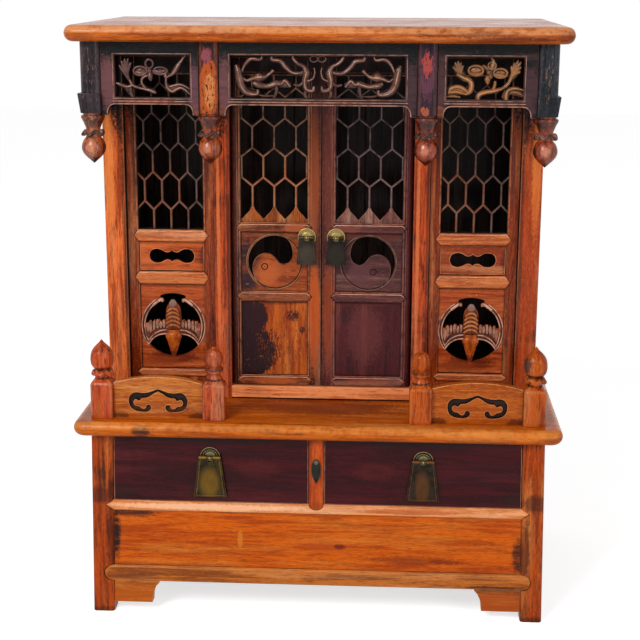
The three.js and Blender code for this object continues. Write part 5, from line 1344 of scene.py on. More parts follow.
for word, side in sides:
    body = f"door_{word}"
    slot_name = "lacquer_red_brown" if side < 0 else "lacquer_maroon"
    finish = leaf_palettes[word]
    low, panel_low, panel_high, disc_low, disc_high, grid_low, grid_high, high = door_levels
    left, right = sorted(side * x for x in door_opening)
    middle = (left + right) / 2
    meeting = side * 0.0125
    taiji_x, taiji_z = side * 0.081, (disc_low + disc_high) / 2
    # The last patch darkens the top of the leaf: painted shade under the porch.
    frame_lacquer_and_shade = old_lacquer(
        f"door_frame_lacquer_{word}", *finish["frame"], "z", 0.35, 0.6, 0.30, 0.9,
        [((meeting, leaf_front, 0.50), (0.013, 0.03, 0.13), "b44c12", 0.95 if side < 0 else 0.4),
         ((meeting, leaf_front, 0.74), (0.012, 0.03, 0.16), "8e4424", 0.8 if side < 0 else 0.3),
         ((side * 0.15, leaf_front, 0.62), (0.006, 0.03, 0.28), "4a1e18", 0.5),
         ((middle, leaf_front, 0.975), (0.16, 0.03, 0.16), "180d0e", 1.0)], seed=side * 0.83)
    bar_lacquer = old_lacquer(
        f"door_bar_lacquer_{word}", *finish["bars"], "x", 0.3, 0.6, 0.30, 0.9,
        [((middle, leaf_front, 0.383), (0.05, 0.03, 0.010), "a8542a", 0.9 if side < 0 else 0.3),
         ((middle - side * 0.035, leaf_front, 0.655), (0.03, 0.03, 0.010), "a5532e",
          0.8 if side < 0 else 0.2)],
        seed=side * 0.39)
    panel_flakes = [
        ((left + 0.002, leaf_front, 0.46), (0.038, 0.02, 0.14), "200408", 1.0),
        ((left + 0.030, leaf_front, 0.432), (0.032, 0.02, 0.060), "22060a", 0.85),
        ((left + 0.024, leaf_front, 0.500), (0.030, 0.02, 0.046), "28080c", 0.7),
        ((left + 0.048, leaf_front, 0.440), (0.026, 0.02, 0.050), "2a0c0c", 0.35),
        ((left + 0.089, leaf_front, 0.500), (0.018, 0.02, 0.015), "34120c", 0.38),
        ((left + 0.106, leaf_front, 0.474), (0.007, 0.02, 0.009), "3a1810", 0.5),
        ((left + 0.080, leaf_front, 0.450), (0.06, 0.02, 0.07), "7a3410", 0.12)]
    # The band along the top of the panel, just under the rail, is painted shade.
    panel_lacquer = old_lacquer(
        f"door_panel_lacquer_{word}", *finish["panel"], "z", 0.3, 0.9, 0.30, 0.7,
        [((left + 0.020, leaf_front, 0.500), (0.016, 0.02, 0.020), "2a1214", 0.6),
         ((middle - 0.006, leaf_front, 0.47), (0.040, 0.02, 0.070), "6a3230", 0.0 if side < 0 else 0.55),
         ((middle, leaf_front, 0.522), (0.06, 0.02, 0.005), "5a2416", 0.6)], seed=side * 0.29,
        flaked=panel_flakes if side < 0 else ())
    foot_lacquer = old_lacquer(
        f"door_foot_lacquer_{word}", *finish["foot"], "z", 0.35, 0.6, 0.34, 0.9, seed=side * 0.61)
    # The patch at height 0.93 darkens the top of the lattice: painted shade under the porch.
    grid_lacquer_and_shade = old_lacquer(
        f"door_lattice_lacquer_{word}", *finish["lattice"], "z", 0.4, 0.5, 0.38, 0.8,
        [((middle, leaf_front, 0.725), (0.07, 0.03, 0.08), "a8562c", 1.0 if side < 0 else 0.12),
         ((middle, leaf_front, 0.93), (0.20, 0.03, 0.19), "20171a", 0.95)], seed=side * 0.15)
    # The band along the top of the board, just under the bar, is painted shade.
    disc_lacquer = old_lacquer(
        f"taiji_lacquer_{word}", *finish["disc"], "x", 0.35, 0.7, 0.30, 0.9,
        [((left + 0.010, leaf_front, 0.585), (0.034, 0.02, 0.070), "2c1a20", 1.0 if side < 0 else 0.0),
         ((taiji_x - 0.014, leaf_front, 0.575), (0.030, 0.02, 0.030), "b85c2c" if side < 0 else "5c3438",
          0.8),
         ((middle, leaf_front, 0.640), (0.08, 0.02, 0.008), "5e2a1c", 0.7)],
        seed=side * 0.47)
    disc_bead_lacquer = old_lacquer(
        f"taiji_bead_lacquer_{word}", "6a3220" if side < 0 else "4a2c2c", "44201a", "200e0c",
        "b07850" if side < 0 else "8c6454", "x", 0.35, 0.7, 0.26, 0.7, seed=side * 0.59)

    heel = round_arc(door_thickness / 2, -90, 90, 18)
    plan = [(door_opening[1], leaf_front)] + [(door_pivot_x + x, door_pivot_y + y) for x, y in heel]
    plan.append((door_opening[1], leaf_front + door_thickness))
    leaf = bmesh.new()
    bottom_ring = [leaf.verts.new((side * x, y, low)) for x, y in plan]
    top_ring = [leaf.verts.new((side * x, y, high)) for x, y in plan]
    leaf.faces.new(bottom_ring)
    leaf.faces.new(top_ring)
    for here in range(len(plan)):
        leaf.faces.new((bottom_ring[here - 1], bottom_ring[here], top_ring[here], top_ring[here - 1]))
    bmesh.ops.recalc_face_normals(leaf, faces=leaf.faces)
    stile = sorted((side * door_meeting, side * door_opening[0]))
    rails = ((low, panel_low), (panel_high, disc_low), (disc_high, grid_low), (grid_high, high))
    for place in [(*stile, low, high)] + [(left, right, *rail) for rail in rails]:
        prism(leaf, rectangle(*place), leaf_front, door_thickness)
    ease_edges(leaf, 0.0008)
    for start in (low - door_pin_length, high - door_pin_root):
        end = start + door_pin_length + door_pin_root
        pin = [(0.0, start), (door_pin_radius, start), (door_pin_radius, end), (0.0, end)]
        turn(leaf, pin, (side * door_pivot_x, door_pivot_y, 0.0), (0, 0, 1), 20)
    paint_inside_shade(set_in_place(f"door_{word}_leaf", leaf, frame_lacquer_and_shade, body, slot_name, f"door_{word}"))
    bar_levels = [(low, panel_low), (panel_high, disc_low), (disc_high, grid_low)]
    pointed_bars(f"door_{word}_bars", (left, right), bar_levels, bar_lacquer, slot_name, body)
    carved(f"door_{word}_ledges", worn_and_lit_ledges((left, right), bar_levels), ledge_lacquer_wear_and_highlight, slot_name, body)
    inset_y = leaf_front + inset_recess
    # Dark lines round the bars and the inset boards: painted shadow lines in the joints, with some grime.
    joints = [bead_round(pointed(left, right, *level), leaf_front, 0.0008) for level in bar_levels[1:]]
    joints += [bead_round(rectangle(left, right, *level), inset_y, 0.0011)
               for level in ((panel_low, panel_high), (disc_low, disc_high))]
    carved(f"door_{word}_joints", joints, joint_grime_and_shadow, slot_name, body, Height=0.5)
    grooves = left - groove_depth, right + groove_depth
    boards(f"door_{word}_panel", [(*grooves, panel_low - groove_depth, panel_high + groove_depth)], inset_y,
           inset_thickness, 0.0004, panel_lacquer, slot_name, body)
    peaks = []
    for peak_x in (middle + column * door_pitch for column in range(-4, 4)):
        for share, rise in foot_rise_shares + tuple((-x, z) for x, z in reversed(foot_rise_shares[1:])):
            x = peak_x - share * door_pitch
            if grooves[0] < x < grooves[1]:
                peaks.append((x, grid_low + rise))
    foot = bmesh.new()
    foot_outline = [(x, grid_low - 0.002) for x in grooves] + [(grooves[1], peaks[-1][1])]
    foot_outline += list(reversed(peaks)) + [(grooves[0], peaks[0][1])]
    prism(foot, foot_outline, inset_y, lattice_depth)
    ease_edges(foot, 0.0006)
    set_in_place(f"door_{word}_foot", foot, foot_lacquer, body, slot_name)
    door_grid = hexagon_lattice(
        f"door_lattice_{word}",
        {"Left": left, "Right": right, "Bottom": grid_low, "Top": grid_high, "Front": inset_y,
         "First row": door_first_row, "Pitch": door_pitch, "Columns": 7}, grid_lacquer_and_shade)
    set_in_place(f"door_lattice_{word}", door_grid, grid_lacquer_and_shade, body, slot_name)
    beads = []
    for bottom, top in ((panel_low, panel_high), (disc_low, disc_high), (grid_low, grid_high)):
        for beside, below, above, half in ((0.0022, 0.0, 0.0016, 0.0011), (0.0062, 0.0040, 0.0056, 0.0006)):
            bead = rectangle(left - beside, right + beside, bottom - below, top + above)
            beads.append(bead_round(bead, leaf_front, half))
    carved(f"door_{word}_beads", beads, frame_lacquer_and_shade, slot_name, body)

    # Taiji board: the round sign of the two halves of the world, one half sawn out and the
    # other left standing, inside a raised ring, with a ring for the eye of the solid half.
    eye_place = (-0.0986, 0.586) if side < 0 else (0.0894, 0.579)
    comma = [(-x * side * taiji_hole + taiji_x, z * taiji_hole + taiji_z)
             for x, z in round_arc(1.0, 229, 62, 52)[:-1] + flowing(comma_shares, 4)[:-1]]
    rim = rectangle(left + board_gap, right - board_gap, disc_low + board_gap, disc_high - board_gap)
    taiji_board = pierced_board(rim, [comma], inset_y, inset_thickness)
    set_in_place(
        f"taiji_board_{word}", taiji_board, disc_lacquer, body, slot_name, f"door_taiji_panel_{word}")
    rounds = (
        (taiji_x, taiji_z, taiji_rim), (taiji_x, taiji_z, taiji_rim - 0.0022), (*eye_place, taiji_eye))
    ring, groove, eye = (
        [(at_x + x, at_z + z) for x, z in round_arc(radius, 0, 360, 64)][:-1]
        for at_x, at_z, radius in rounds)
    pupil = [(eye_place[0], inset_y, eye_place[1] + rise, 0.0011) for rise in (-0.0006, 0.0006)]
    carved(f"taiji_ring_{word}",
           [bead_round(ring, inset_y, 0.0014), bead_round(comma, inset_y, 0.0007)],
           disc_bead_lacquer, slot_name, body, Height=0.9, Crest=0.65)
    # Dark lines in the groove inside the ring, round the eye and for its pupil: painted shade in the cut
    # lines, with some grime.
    carved(f"taiji_grooves_{word}",
           [bead_round(groove, inset_y, 0.0007), bead_round(eye, inset_y, 0.0009), pupil],
           joint_grime_and_shadow, slot_name, body, Height=0.4)

    # Door pull: a smaller fitting of the same kind as the drawers', at the meeting edge.
    pull_x, pull_back, pull_z = side * 0.025, -0.0773, 0.640
    plate_brass = old_brass(
        f"door_plate_brass_{word}", "a8905a", "6a5828" if side < 0 else "7a6430", "2c2614",
        (pull_x, pull_back, pull_z + 0.008), (0.02, 0.02, 0.014), 0.6)
    pull_brass = old_brass(
        f"door_pull_brass_{word}", "4a4034" if side < 0 else "342c24", "26221d" if side < 0 else "181613",
        "100e0c", (pull_x, pull_back, pull_z - 0.03), (0.02, 0.03, 0.025), 0.5, 0.4)
    pull_plate(f"door_plate_{word}_dressed", pull_x, pull_back, pull_z, 0.0155, 0.013, plate_brass, body,
               f"door_plate_{word}")
    hanging_pull(f"door_pull_{word}_dressed", pull_x, pull_back, pull_z, 0.026, 0.035, 0.047, pull_brass,
                 f"door_pull_{word}", f"door_pull_{word}")


# Newels: short rounded posts glued to the table board, each turned at the top. The outer
# two end in a lotus bud standing in a ring of petals, the inner two in a polished ball.
porch_outer, porch_inner = 0.362, 0.173
newel_y, newel_half, newel_round = -0.1945, 0.019, 0.007
newel_foot, newel_shoulder = 0.3503, 0.416
bud_height, bud_radius = 0.068, 0.0194
ball_height, ball_radius = 0.058, 0.0155
bud_rings = (
    ((0.72, -0.06), (0.68, 0.0), (0.64, 0.05), (0.62, 0.10)), ((0.60, 0.12), (0.60, 0.18), (0.62, 0.24)),
    ((0.66, 0.26), (0.82, 0.30), (0.94, 0.36), (0.995, 0.44), (1.0, 0.53), (0.95, 0.63), (0.84, 0.72),
     (0.65, 0.80), (0.43, 0.865), (0.25, 0.91), (0.13, 0.955), (0.0, 1.0)))
ball_rings = (
    ((0.96, -0.06), (0.95, 0.0), (0.90, 0.05), (0.82, 0.10), (0.76, 0.13)),
    ((0.72, 0.15), (0.71, 0.185), (0.74, 0.22)),
    ((0.90, 0.235), (0.98, 0.26), (1.0, 0.31), (0.98, 0.36), (0.90, 0.385)),
    ((0.72, 0.395), (0.70, 0.41), (0.74, 0.43)),
    ((0.80, 0.46), (0.88, 0.52), (0.93, 0.60), (0.93, 0.68), (0.88, 0.77), (0.76, 0.85), (0.56, 0.91),
     (0.34, 0.935)),
    ((0.26, 0.945), (0.25, 0.97), (0.17, 0.99), (0.0, 1.0)))
collar_sizes = {
    "Lobes": 4, "Radius": 0.0142, "Wave": 0.0034, "Flare": 0.0012, "Width": 0.0085, "Thickness": 0.0085,
    "Lead": 1.57, "X": 0.0, "Y": 0.0, "Z": 0.0}


def rounded_post(x, y, half, corner, bands):
    """A square post with rounded corners, drawn in by the second number at each height."""
    mesh = bmesh.new()
    rubbed = rubbed_layer(mesh)
    rings = []
    for z, inset in bands:
        ring = []
        for quarter, (sign_x, sign_y) in enumerate(((1, 1), (-1, 1), (-1, -1), (1, -1))):
            for step in range(6):
                angle = math.pi / 2 * (quarter + step / 5)
                reach = max(corner - inset * 0.3, 0.0005)
                vert = mesh.verts.new((x + sign_x * (half - inset - reach) + reach * math.cos(angle),
                                       y + sign_y * (half - inset - reach) + reach * math.sin(angle), z))
                vert[rubbed] = 0.6 if step in (2, 3) else 0.3 if 0.0003 < inset < 0.003 else 0.0
                ring.append(vert)
        rings.append(ring)
    faces = [mesh.faces.new(list(reversed(rings[0]))), mesh.faces.new(rings[-1])]
    for low, high in zip(rings, rings[1:]):
        for here in range(len(low)):
            after = (here + 1) % len(low)
            faces.append(mesh.faces.new((low[here], low[after], high[after], high[here])))
    bmesh.ops.recalc_face_normals(mesh, faces=faces)
    return mesh


def turned_finial(mesh, rings, x, y, z, radius, height):
    """A turned finial: each group of shares is one moulding, flowing within itself."""
    profile = []
    for moulding in rings:
        profile += [(max(r, 0.02) * radius, h * height) for r, h in flowing(moulding, 3)]
    profile = [(0.0, profile[0][1])] + profile + [(0.0, profile[-1][1])]
    return turn(mesh, profile, (x, y, z), (0, 0, 1), 36)


collar_tree, size = size_tree("lotus_collar", collar_sizes)
collar_path = made(
    collar_tree, "GeometryNodeCurvePrimitiveCircle", {"Resolution": 72, "Radius": size["Radius"]})
spot = made(collar_tree, "GeometryNodeInputPosition")
outward = made(collar_tree, "ShaderNodeVectorMath", {0: spot}, operation="NORMALIZE")
parts = place_parts(collar_tree)
bearing = work(collar_tree, "ADD", work(collar_tree, "ARCTAN2", parts["Y"], parts["X"]), size["Lead"])
ripple = work(collar_tree, "COSINE", work(collar_tree, "MULTIPLY", bearing, size["Lobes"]))
flare = made(
    collar_tree, "ShaderNodeVectorMath",
    {0: outward, 3: work(collar_tree, "MULTIPLY", ripple, size["Flare"])}, operation="SCALE")
downward = work(collar_tree, "MULTIPLY", size["Wave"], -1.0)
dip = point_at(collar_tree, z=work(collar_tree, "MULTIPLY", ripple, downward))
ruffle_offset = made(collar_tree, "ShaderNodeVectorMath", {0: flare, 1: dip}, operation="ADD")
ruffled = made(
    collar_tree, "GeometryNodeSetPosition", {"Geometry": collar_path, "Offset": ruffle_offset})
ruffled = made(
    collar_tree, "GeometryNodeSetCurveNormal", {"Curve": ruffled, "Normal": outward}, mode="FREE")
lip = made(collar_tree, "GeometryNodeCurvePrimitiveCircle", {"Resolution": 14, "Radius": 0.5})
from_middle = work(collar_tree, "ABSOLUTE", place_parts(collar_tree)["Y"])
lip = mark_rubbed(collar_tree, lip, between(collar_tree, from_middle, 0.40, 0.49))
lip = made(
    collar_tree, "GeometryNodeTransform",
    {"Geometry": lip, "Scale": point_at(collar_tree, size["Width"], size["Thickness"], 1.0)})
collar_mesh = made(
    collar_tree, "GeometryNodeCurveToMesh", {"Curve": ruffled, "Profile Curve": lip})
collar_set = made(
    collar_tree, "GeometryNodeTransform",
    {"Geometry": collar_mesh, "Translation": point_at(collar_tree, size["X"], size["Y"], size["Z"])})
# Painted light on the newels: the thin dark strip on a side face of the outer newel is painted shade; the
# dark bands at the shoulders are dark joints, with painted shadow under the collar.
newel_lacquers_and_shade = {
    word: old_lacquer(
        "newel_lacquer_" + word, *shades, "z", 0.3, 0.5, 0.20, 0.7,
        [((side * porch_outer - 0.019, newel_y, 0.38), (0.0022, 0.016, 0.05), "180a10", 1.2),
         ((side * porch_outer + side * 0.004, newel_y - 0.019, 0.365), (0.006, 0.01, 0.022), "a85410", 0.8),
         ((side * porch_outer, newel_y, 0.4185), (0.03, 0.03, 0.003), "240e0c", 0.9),
         ((side * porch_inner, newel_y, 0.4185), (0.03, 0.03, 0.003), "30120c", 0.9),
         ((side * porch_outer, newel_y, 0.434), (0.03, 0.03, 0.006), "28110e", 0.9),
         ((side * porch_inner, newel_y, 0.436), (0.03, 0.03, 0.004), "3c160e", 0.8),
         ((side * porch_outer - 0.016, newel_y - 0.012, 0.455), (0.010, 0.02, 0.020), "3c302c",
          0.1 if side < 0 else 0.9)],
        seed=0.78 + side * 0.15, glaze=0.16)
    for word, side, shades in (
        ("left", -1, ("c04c1c", "862a0c", "34100a", "e09468")),
        ("right", 1, ("b8500a", "842c04", "30100a", "d4884c")))}
close_tree(collar_tree, collar_set, newel_lacquers_and_shade["left"])

shoulder_bands = [
    (newel_foot, 0.0006), (newel_foot + 0.001, 0.0), (newel_shoulder - 0.0095, 0.0),
    (newel_shoulder - 0.0075, 0.0004), (newel_shoulder - 0.0052, 0.0014), (newel_shoulder - 0.003, 0.003),
    (newel_shoulder - 0.001, 0.0052), (newel_shoulder + 0.0006, 0.0080), (newel_shoulder + 0.0012, 0.0105)]
for word, side in sides:
    finish = newel_lacquers_and_shade[word]
    for place, x, rings, radius, height in (
            ("outer", side * porch_outer, bud_rings, bud_radius, bud_height),
            ("inner", side * porch_inner, ball_rings, ball_radius, ball_height)):
        post = rounded_post(x, newel_y, newel_half, newel_round, shoulder_bands)
        turned_finial(post, rings, x, newel_y, newel_shoulder, radius, height)
        set_in_place(f"newel_{place}_{word}_post", post, finish, "carcass", "lacquer_red_brown",
                     f"newel_{place}_{word}", smooth=smooth_turned)
        if place == "outer":
            ruffle = grow(
                f"newel_collar_{word}", collar_tree,
                {"X": x, "Y": newel_y, "Z": newel_shoulder + 0.0105, "Lead": 1.75 if side < 0 else 1.52})
            set_in_place(f"newel_collar_{word}", ruffle, finish, "carcass", "lacquer_red_brown",
                         smooth=smooth_carved)


# Balustrades: boards with an arched top between the newels, each with a cloud cut into its
# face and painted black inside. The wood is paler than the rest, dark only in the corners.
balustrade_front, balustrade_thickness = -0.2015, 0.014
balustrade_ends, balustrade_side, balustrade_rise = (0.1923, 0.3427), 0.410, 0.011
cloud_half = (
    (0.0, 0.985), (0.10, 0.945), (0.20, 0.895), (0.348, 0.84), (0.53, 0.82), (0.68, 0.845), (0.81, 0.815),
    (0.90, 0.725), (0.96, 0.578), (0.96, 0.382), (0.90, 0.186), (0.754, 0.054), (0.53, 0.005),
    (0.348, 0.022), (0.255, 0.095), (0.222, 0.21), (0.255, 0.305), (0.33, 0.335), (0.395, 0.29),
    (0.41, 0.21), (0.445, 0.165), (0.50, 0.155), (0.555, 0.195), (0.62, 0.255), (0.70, 0.27), (0.775, 0.32),
    (0.80, 0.43), (0.76, 0.52), (0.70, 0.52), (0.63, 0.475), (0.575, 0.515), (0.535, 0.58), (0.385, 0.60),
    (0.274, 0.66), (0.18, 0.74), (0.06, 0.83), (0.0, 0.86))
cloud_reach, cloud_height, cloud_foot = 0.052, 0.042, 0.3592
cloud_depth = 0.005

for word, side in sides:
    ends = sorted(side * x for x in balustrade_ends)
    middle = sum(ends) / 2
    crown = [(ends[1] + (ends[0] - ends[1]) * t,
              balustrade_side + 4 * balustrade_rise * t * (1 - t)) for t in (i / 20 for i in range(21))]
    pale_lacquer = old_lacquer(
        "balustrade_lacquer_" + word, "ba6620" if side < 0 else "b45810", "984208", "56200a", "e8a464", "x",
        0.16, 0.35, 0.28, 0.7,
        [((ends[0] + 0.008, balustrade_front, 0.352), (0.022, 0.02, 0.010), "4e2212", 0.8),
         ((ends[1] - 0.008, balustrade_front, 0.352), (0.022, 0.02, 0.010), "4e2212", 0.8)],
        seed=side * 0.43)
    ink = old_lacquer("cloud_ink_" + word, "26120e", "160a0a", "0a0505", "6a3a1e", "x", 0.4, 0.5, 0.5, 0.2)
    half = [(middle + x * cloud_reach, cloud_foot + z * cloud_height) for x, z in flowing(cloud_half, 2)]
    groove = half + [(2 * middle - x, z) for x, z in reversed(half[1:-1])]
    outline = [(ends[0], newel_foot), (ends[1], newel_foot)] + crown
    sawn_face = pierced_board(outline, [groove], balustrade_front, cloud_depth)
    face_board = set_in_place(
        f"balustrade_{word}_face", sawn_face, pale_lacquer, "carcass", "lacquer_orange",
        f"balustrade_{word}")
    paint_faces(face_board, ink, lambda centre, normal: abs(normal.y) < 0.5
                and newel_foot + 0.002 < centre.z < 0.4085 and ends[0] + 0.002 < centre.x < ends[1] - 0.002)
    plain_back = bmesh.new()
    prism(plain_back, outline, balustrade_front + cloud_depth, balustrade_thickness - cloud_depth)
    back_board = set_in_place(
        f"balustrade_{word}_back", plain_back, pale_lacquer, "carcass", "lacquer_orange",
        f"balustrade_{word}")
    paint_faces(back_board, ink, lambda centre, normal: normal.y < -0.5)
    # These thin beads along the groove's edge and under the crown are pale on their crests: a painted
    # highlight on the lips, with some real wear.
    lips = [[(x, balustrade_front + surface_lift, z, 0.0005) for x, z in groove + groove[:1]],
            [(x, balustrade_front + 0.0006, z - 0.0004, 0.0011) for x, z in crown]]
    carved(f"balustrade_{word}_lips", lips, pale_lacquer, "lacquer_orange", "carcass")


# Hanging posts: four square posts that hang from the top board and end in turned lotus buds
# in cups of petals. The inner left one is worn to orange, the other three kept their dark
# coat; the outer two have a collar that flares to the front and to the outer side.
hanging_y, hanging_half, hanging_round = -0.1995, 0.016, 0.010
shaft_front = hanging_y - hanging_half
hanging_foot, hanging_top = 0.861, 0.9737
collar_top, collar_proud = 0.893, 0.004
drop_height, drop_radius = 0.081, 0.0195
drop_rings = (
    ((0.0, 0.0), (0.12, 0.022), (0.34, 0.07), (0.62, 0.13), (0.86, 0.20), (0.98, 0.27), (1.0, 0.32),
     (0.95, 0.39), (0.83, 0.46), (0.66, 0.51)),
    ((0.60, 0.53), (0.58, 0.58), (0.58, 0.64), (0.60, 0.70)),
    ((0.62, 0.715), (0.70, 0.76), (0.80, 0.82), (0.93, 0.88), (0.985, 0.915), (0.96, 0.945), (0.86, 0.96)),
    ((0.80, 0.965), (0.80, 1.03)))
hanging_finishes = {
    "outer_left": ("30282c", "1b1619", "0d0b0d", "6e5a5e"),
    "outer_right": ("262c32", "15181c", "0c0d10", "66646a"),
    "inner_left": ("3a2024", "241418", "140c10", "b0603c"),
    "inner_right": ("32202c", "1c1620", "110d16", "8a5850")}
bud_finishes = {
    "left": ("a84a18", "682410", "220e0a", "eaa880"), "right": ("983c20", "5c2012", "1e0c0a", "dc9474")}

for word, side in sides:
    for place, x in (("outer", side * porch_outer), ("inner", side * porch_inner)):
        finish = hanging_finishes[f"{place}_{word}"]
        # This patch darkens the top of each post under the top board's overhang: painted shade.
        spots = [((x, hanging_y, 0.968), (0.02, 0.02, 0.010), finish[2], 0.7)]
        worn_spots = [((x, shaft_front, 0.92), (0.03, 0.02, 0.06), "5e4448", 0.10),
                      ((x, shaft_front, 0.915), (0.008, 0.02, 0.04), "7a5a44", 0.10 if side > 0 else 0.02)]
        if place == "inner" and side < 0:
            worn_spots = [
                ((x + 0.001, shaft_front, 0.908), (0.020, 0.014, 0.060), "a84c1c", 1.0),
                ((x + 0.002, shaft_front, 0.900), (0.012, 0.014, 0.042), "cc8048", 0.45),
                ((x - 0.002, shaft_front, 0.952), (0.012, 0.014, 0.018), "84444c", 0.7),
                ((x + 0.006, shaft_front, 0.905), (0.022, 0.03, 0.080), "241014", 0.20)]
        elif place == "inner":
            worn_spots = [
                ((x, shaft_front, 0.922), (0.014, 0.014, 0.050), "5a3442", 0.5),
                ((x - 0.001, shaft_front, 0.940), (0.010, 0.012, 0.026), "a0403a", 0.42),
                ((x - 0.003, shaft_front, 0.868), (0.009, 0.012, 0.010), "9c5238", 0.45)]
        post_lacquer = old_lacquer(
            f"hanging_post_lacquer_{place}_{word}", *finish, "z", 0.45, 0.85, 0.28, 0.5, spots,
            seed=side * 0.91 + (0.4 if place == "inner" else 0.0), flaked=worn_spots)
        post = rounded_post(x, hanging_y, hanging_half, hanging_round,
            [(hanging_foot, 0.0008), (hanging_foot + 0.001, 0.0), (hanging_top, 0.0)])
        if place == "outer":
            inner_x, outer_x = x - side * hanging_half, x + side * hanging_half
            front, rear = shaft_front, hanging_y + hanging_half
            foot_ring, crown_ring = (
                [post.verts.new(place) for place in (
                    (inner_x, front - proud, z), (outer_x + side * proud, front - proud, z),
                    (outer_x + side * proud, rear, z), (inner_x, rear, z))]
                for z, proud in ((hanging_foot + 0.0002, 0.0002), (collar_top, collar_proud)))
            collar = [post.faces.new(foot_ring), post.faces.new(crown_ring)]
            for here in range(4):
                after = (here + 1) % 4
                collar.append(post.faces.new((
                    foot_ring[here], foot_ring[after], crown_ring[after], crown_ring[here])))
            bmesh.ops.recalc_face_normals(post, faces=collar)
            ease = dict.fromkeys(edge for face in collar for edge in face.edges)
            rounding = bmesh.ops.bevel(
                post, geom=list(ease), offset=0.0009, segments=2, profile=0.5, affect="EDGES")
            rubbed, strips = rubbed_layer(post), set(rounding["faces"])
            for vert in rounding["verts"]:
                vert[rubbed] = 0.8 if vert.is_valid and all(
                    face in strips
                    for face in vert.link_faces) else 0.0
        set_in_place(f"hanging_post_{place}_{word}_shaft", post, post_lacquer, "carcass",
                     "lacquer_orange" if place == "inner" else "lacquer_black",
                     f"hanging_post_{place}_{word}", smooth=smooth_turned)
        # Painted light on the bud: the dark patches at its tip, at its left and right edges and at its top
        # are painted shade, and the pale spot on its front is a painted highlight.
        bud_lacquer_and_shading = old_lacquer(
            f"hanging_bud_lacquer_{place}_{word}", *bud_finishes[word], "z", 0.3, 0.5, 0.20, 0.8,
            [((x, hanging_y, hanging_foot - 0.083), (0.03, 0.03, 0.018), "2a100c", 0.95),
             ((x - 0.020, hanging_y, hanging_foot - 0.060), (0.008, 0.03, 0.024), "2c100c", 0.85),
             ((x + 0.020, hanging_y, hanging_foot - 0.060), (0.007, 0.03, 0.022), "38140e", 0.7),
             ((x - 0.003, hanging_y - 0.018, hanging_foot - 0.054), (0.008, 0.01, 0.010), "d88c6c", 0.5),
             ((x, hanging_y, hanging_foot - 0.010), (0.03, 0.03, 0.018), "241210", 0.85)],
            seed=side * 0.33 + (0.2 if place == "inner" else 0.0), glaze=0.4)
        cup_lacquer = old_lacquer(
            f"hanging_collar_lacquer_{place}_{word}", "4c2418", "2c1610", "140b0a", "b07c68", "z", 0.4, 0.5,
            0.24, 0.8, seed=side * 0.53 + (0.3 if place == "inner" else 0.0), glaze=0.3)
        drop = turned_finial(bmesh.new(), drop_rings, x, hanging_y, hanging_foot - drop_height, drop_radius,
                             drop_height)
        set_in_place(f"hanging_bud_{place}_{word}", drop, bud_lacquer_and_shading, "carcass", "lacquer_orange",
                     smooth=smooth_turned)
        cup = grow(
            f"hanging_collar_{place}_{word}", collar_tree,
            {"Lobes": 5, "Radius": 0.0140, "Wave": 0.0026, "Width": 0.0095, "Thickness": 0.0060,
             "Lead": 1.75, "X": x, "Y": hanging_y, "Z": hanging_foot - drop_height * 0.395})
        set_in_place(f"hanging_collar_{place}_{word}", cup, cup_lacquer, "carcass", "lacquer_orange",
                     smooth=smooth_carved)


# Friezes: boards between the hanging posts with arched lower edges, grooved with beads, and
# a long opening filled with carving sawn through: flowers and leaves in the short ones,
# paired scrolling branches in the middle one. Their raised parts were once gilded.
frieze_front, frieze_thickness, carving_y = -0.2075, 0.016, -0.1995
frieze_top, frieze_open_top, frieze_open_bottom = 0.9737, 0.9527, 0.8867
frieze_arch, frieze_tip = 0.8747, 0.8577
frieze_foot, frieze_corner = 0.009, 0.014
bead_away = 0.0024
frieze_open_height = frieze_open_top - frieze_open_bottom


def leaf_fan(base, bend, tips, width):
    """Narrow leaves that spread from one base, bent over the given place."""
    leaves = []
    for tip in tips:
        low_bend = tuple(0.55 * b + 0.25 * a + 0.20 * t for a, b, t in zip(base, bend, tip))
        high_bend = tuple(0.25 * b + 0.75 * t for b, t in zip(bend, tip))
        leaves.append(((*base, width * 0.5), (*low_bend, width), (*high_bend, width), (*tip, width * 0.3)))
    return leaves


def petal_loop(centre_x, centre_z, half_wide, half_high, width, tilt=0.0):
    """The raised rim of one petal, as a closed loop."""
    loop = []
    for step in range(17):
        angle = math.tau * step / 16
        x, z = half_wide * math.cos(angle), half_high * math.sin(angle)
        loop.append((centre_x + x * math.cos(tilt) - z * math.sin(tilt) * 0.56,
                     centre_z + x * math.sin(tilt) / 0.56 + z * math.cos(tilt), width))
    loop[-1] = loop[0]
    return loop


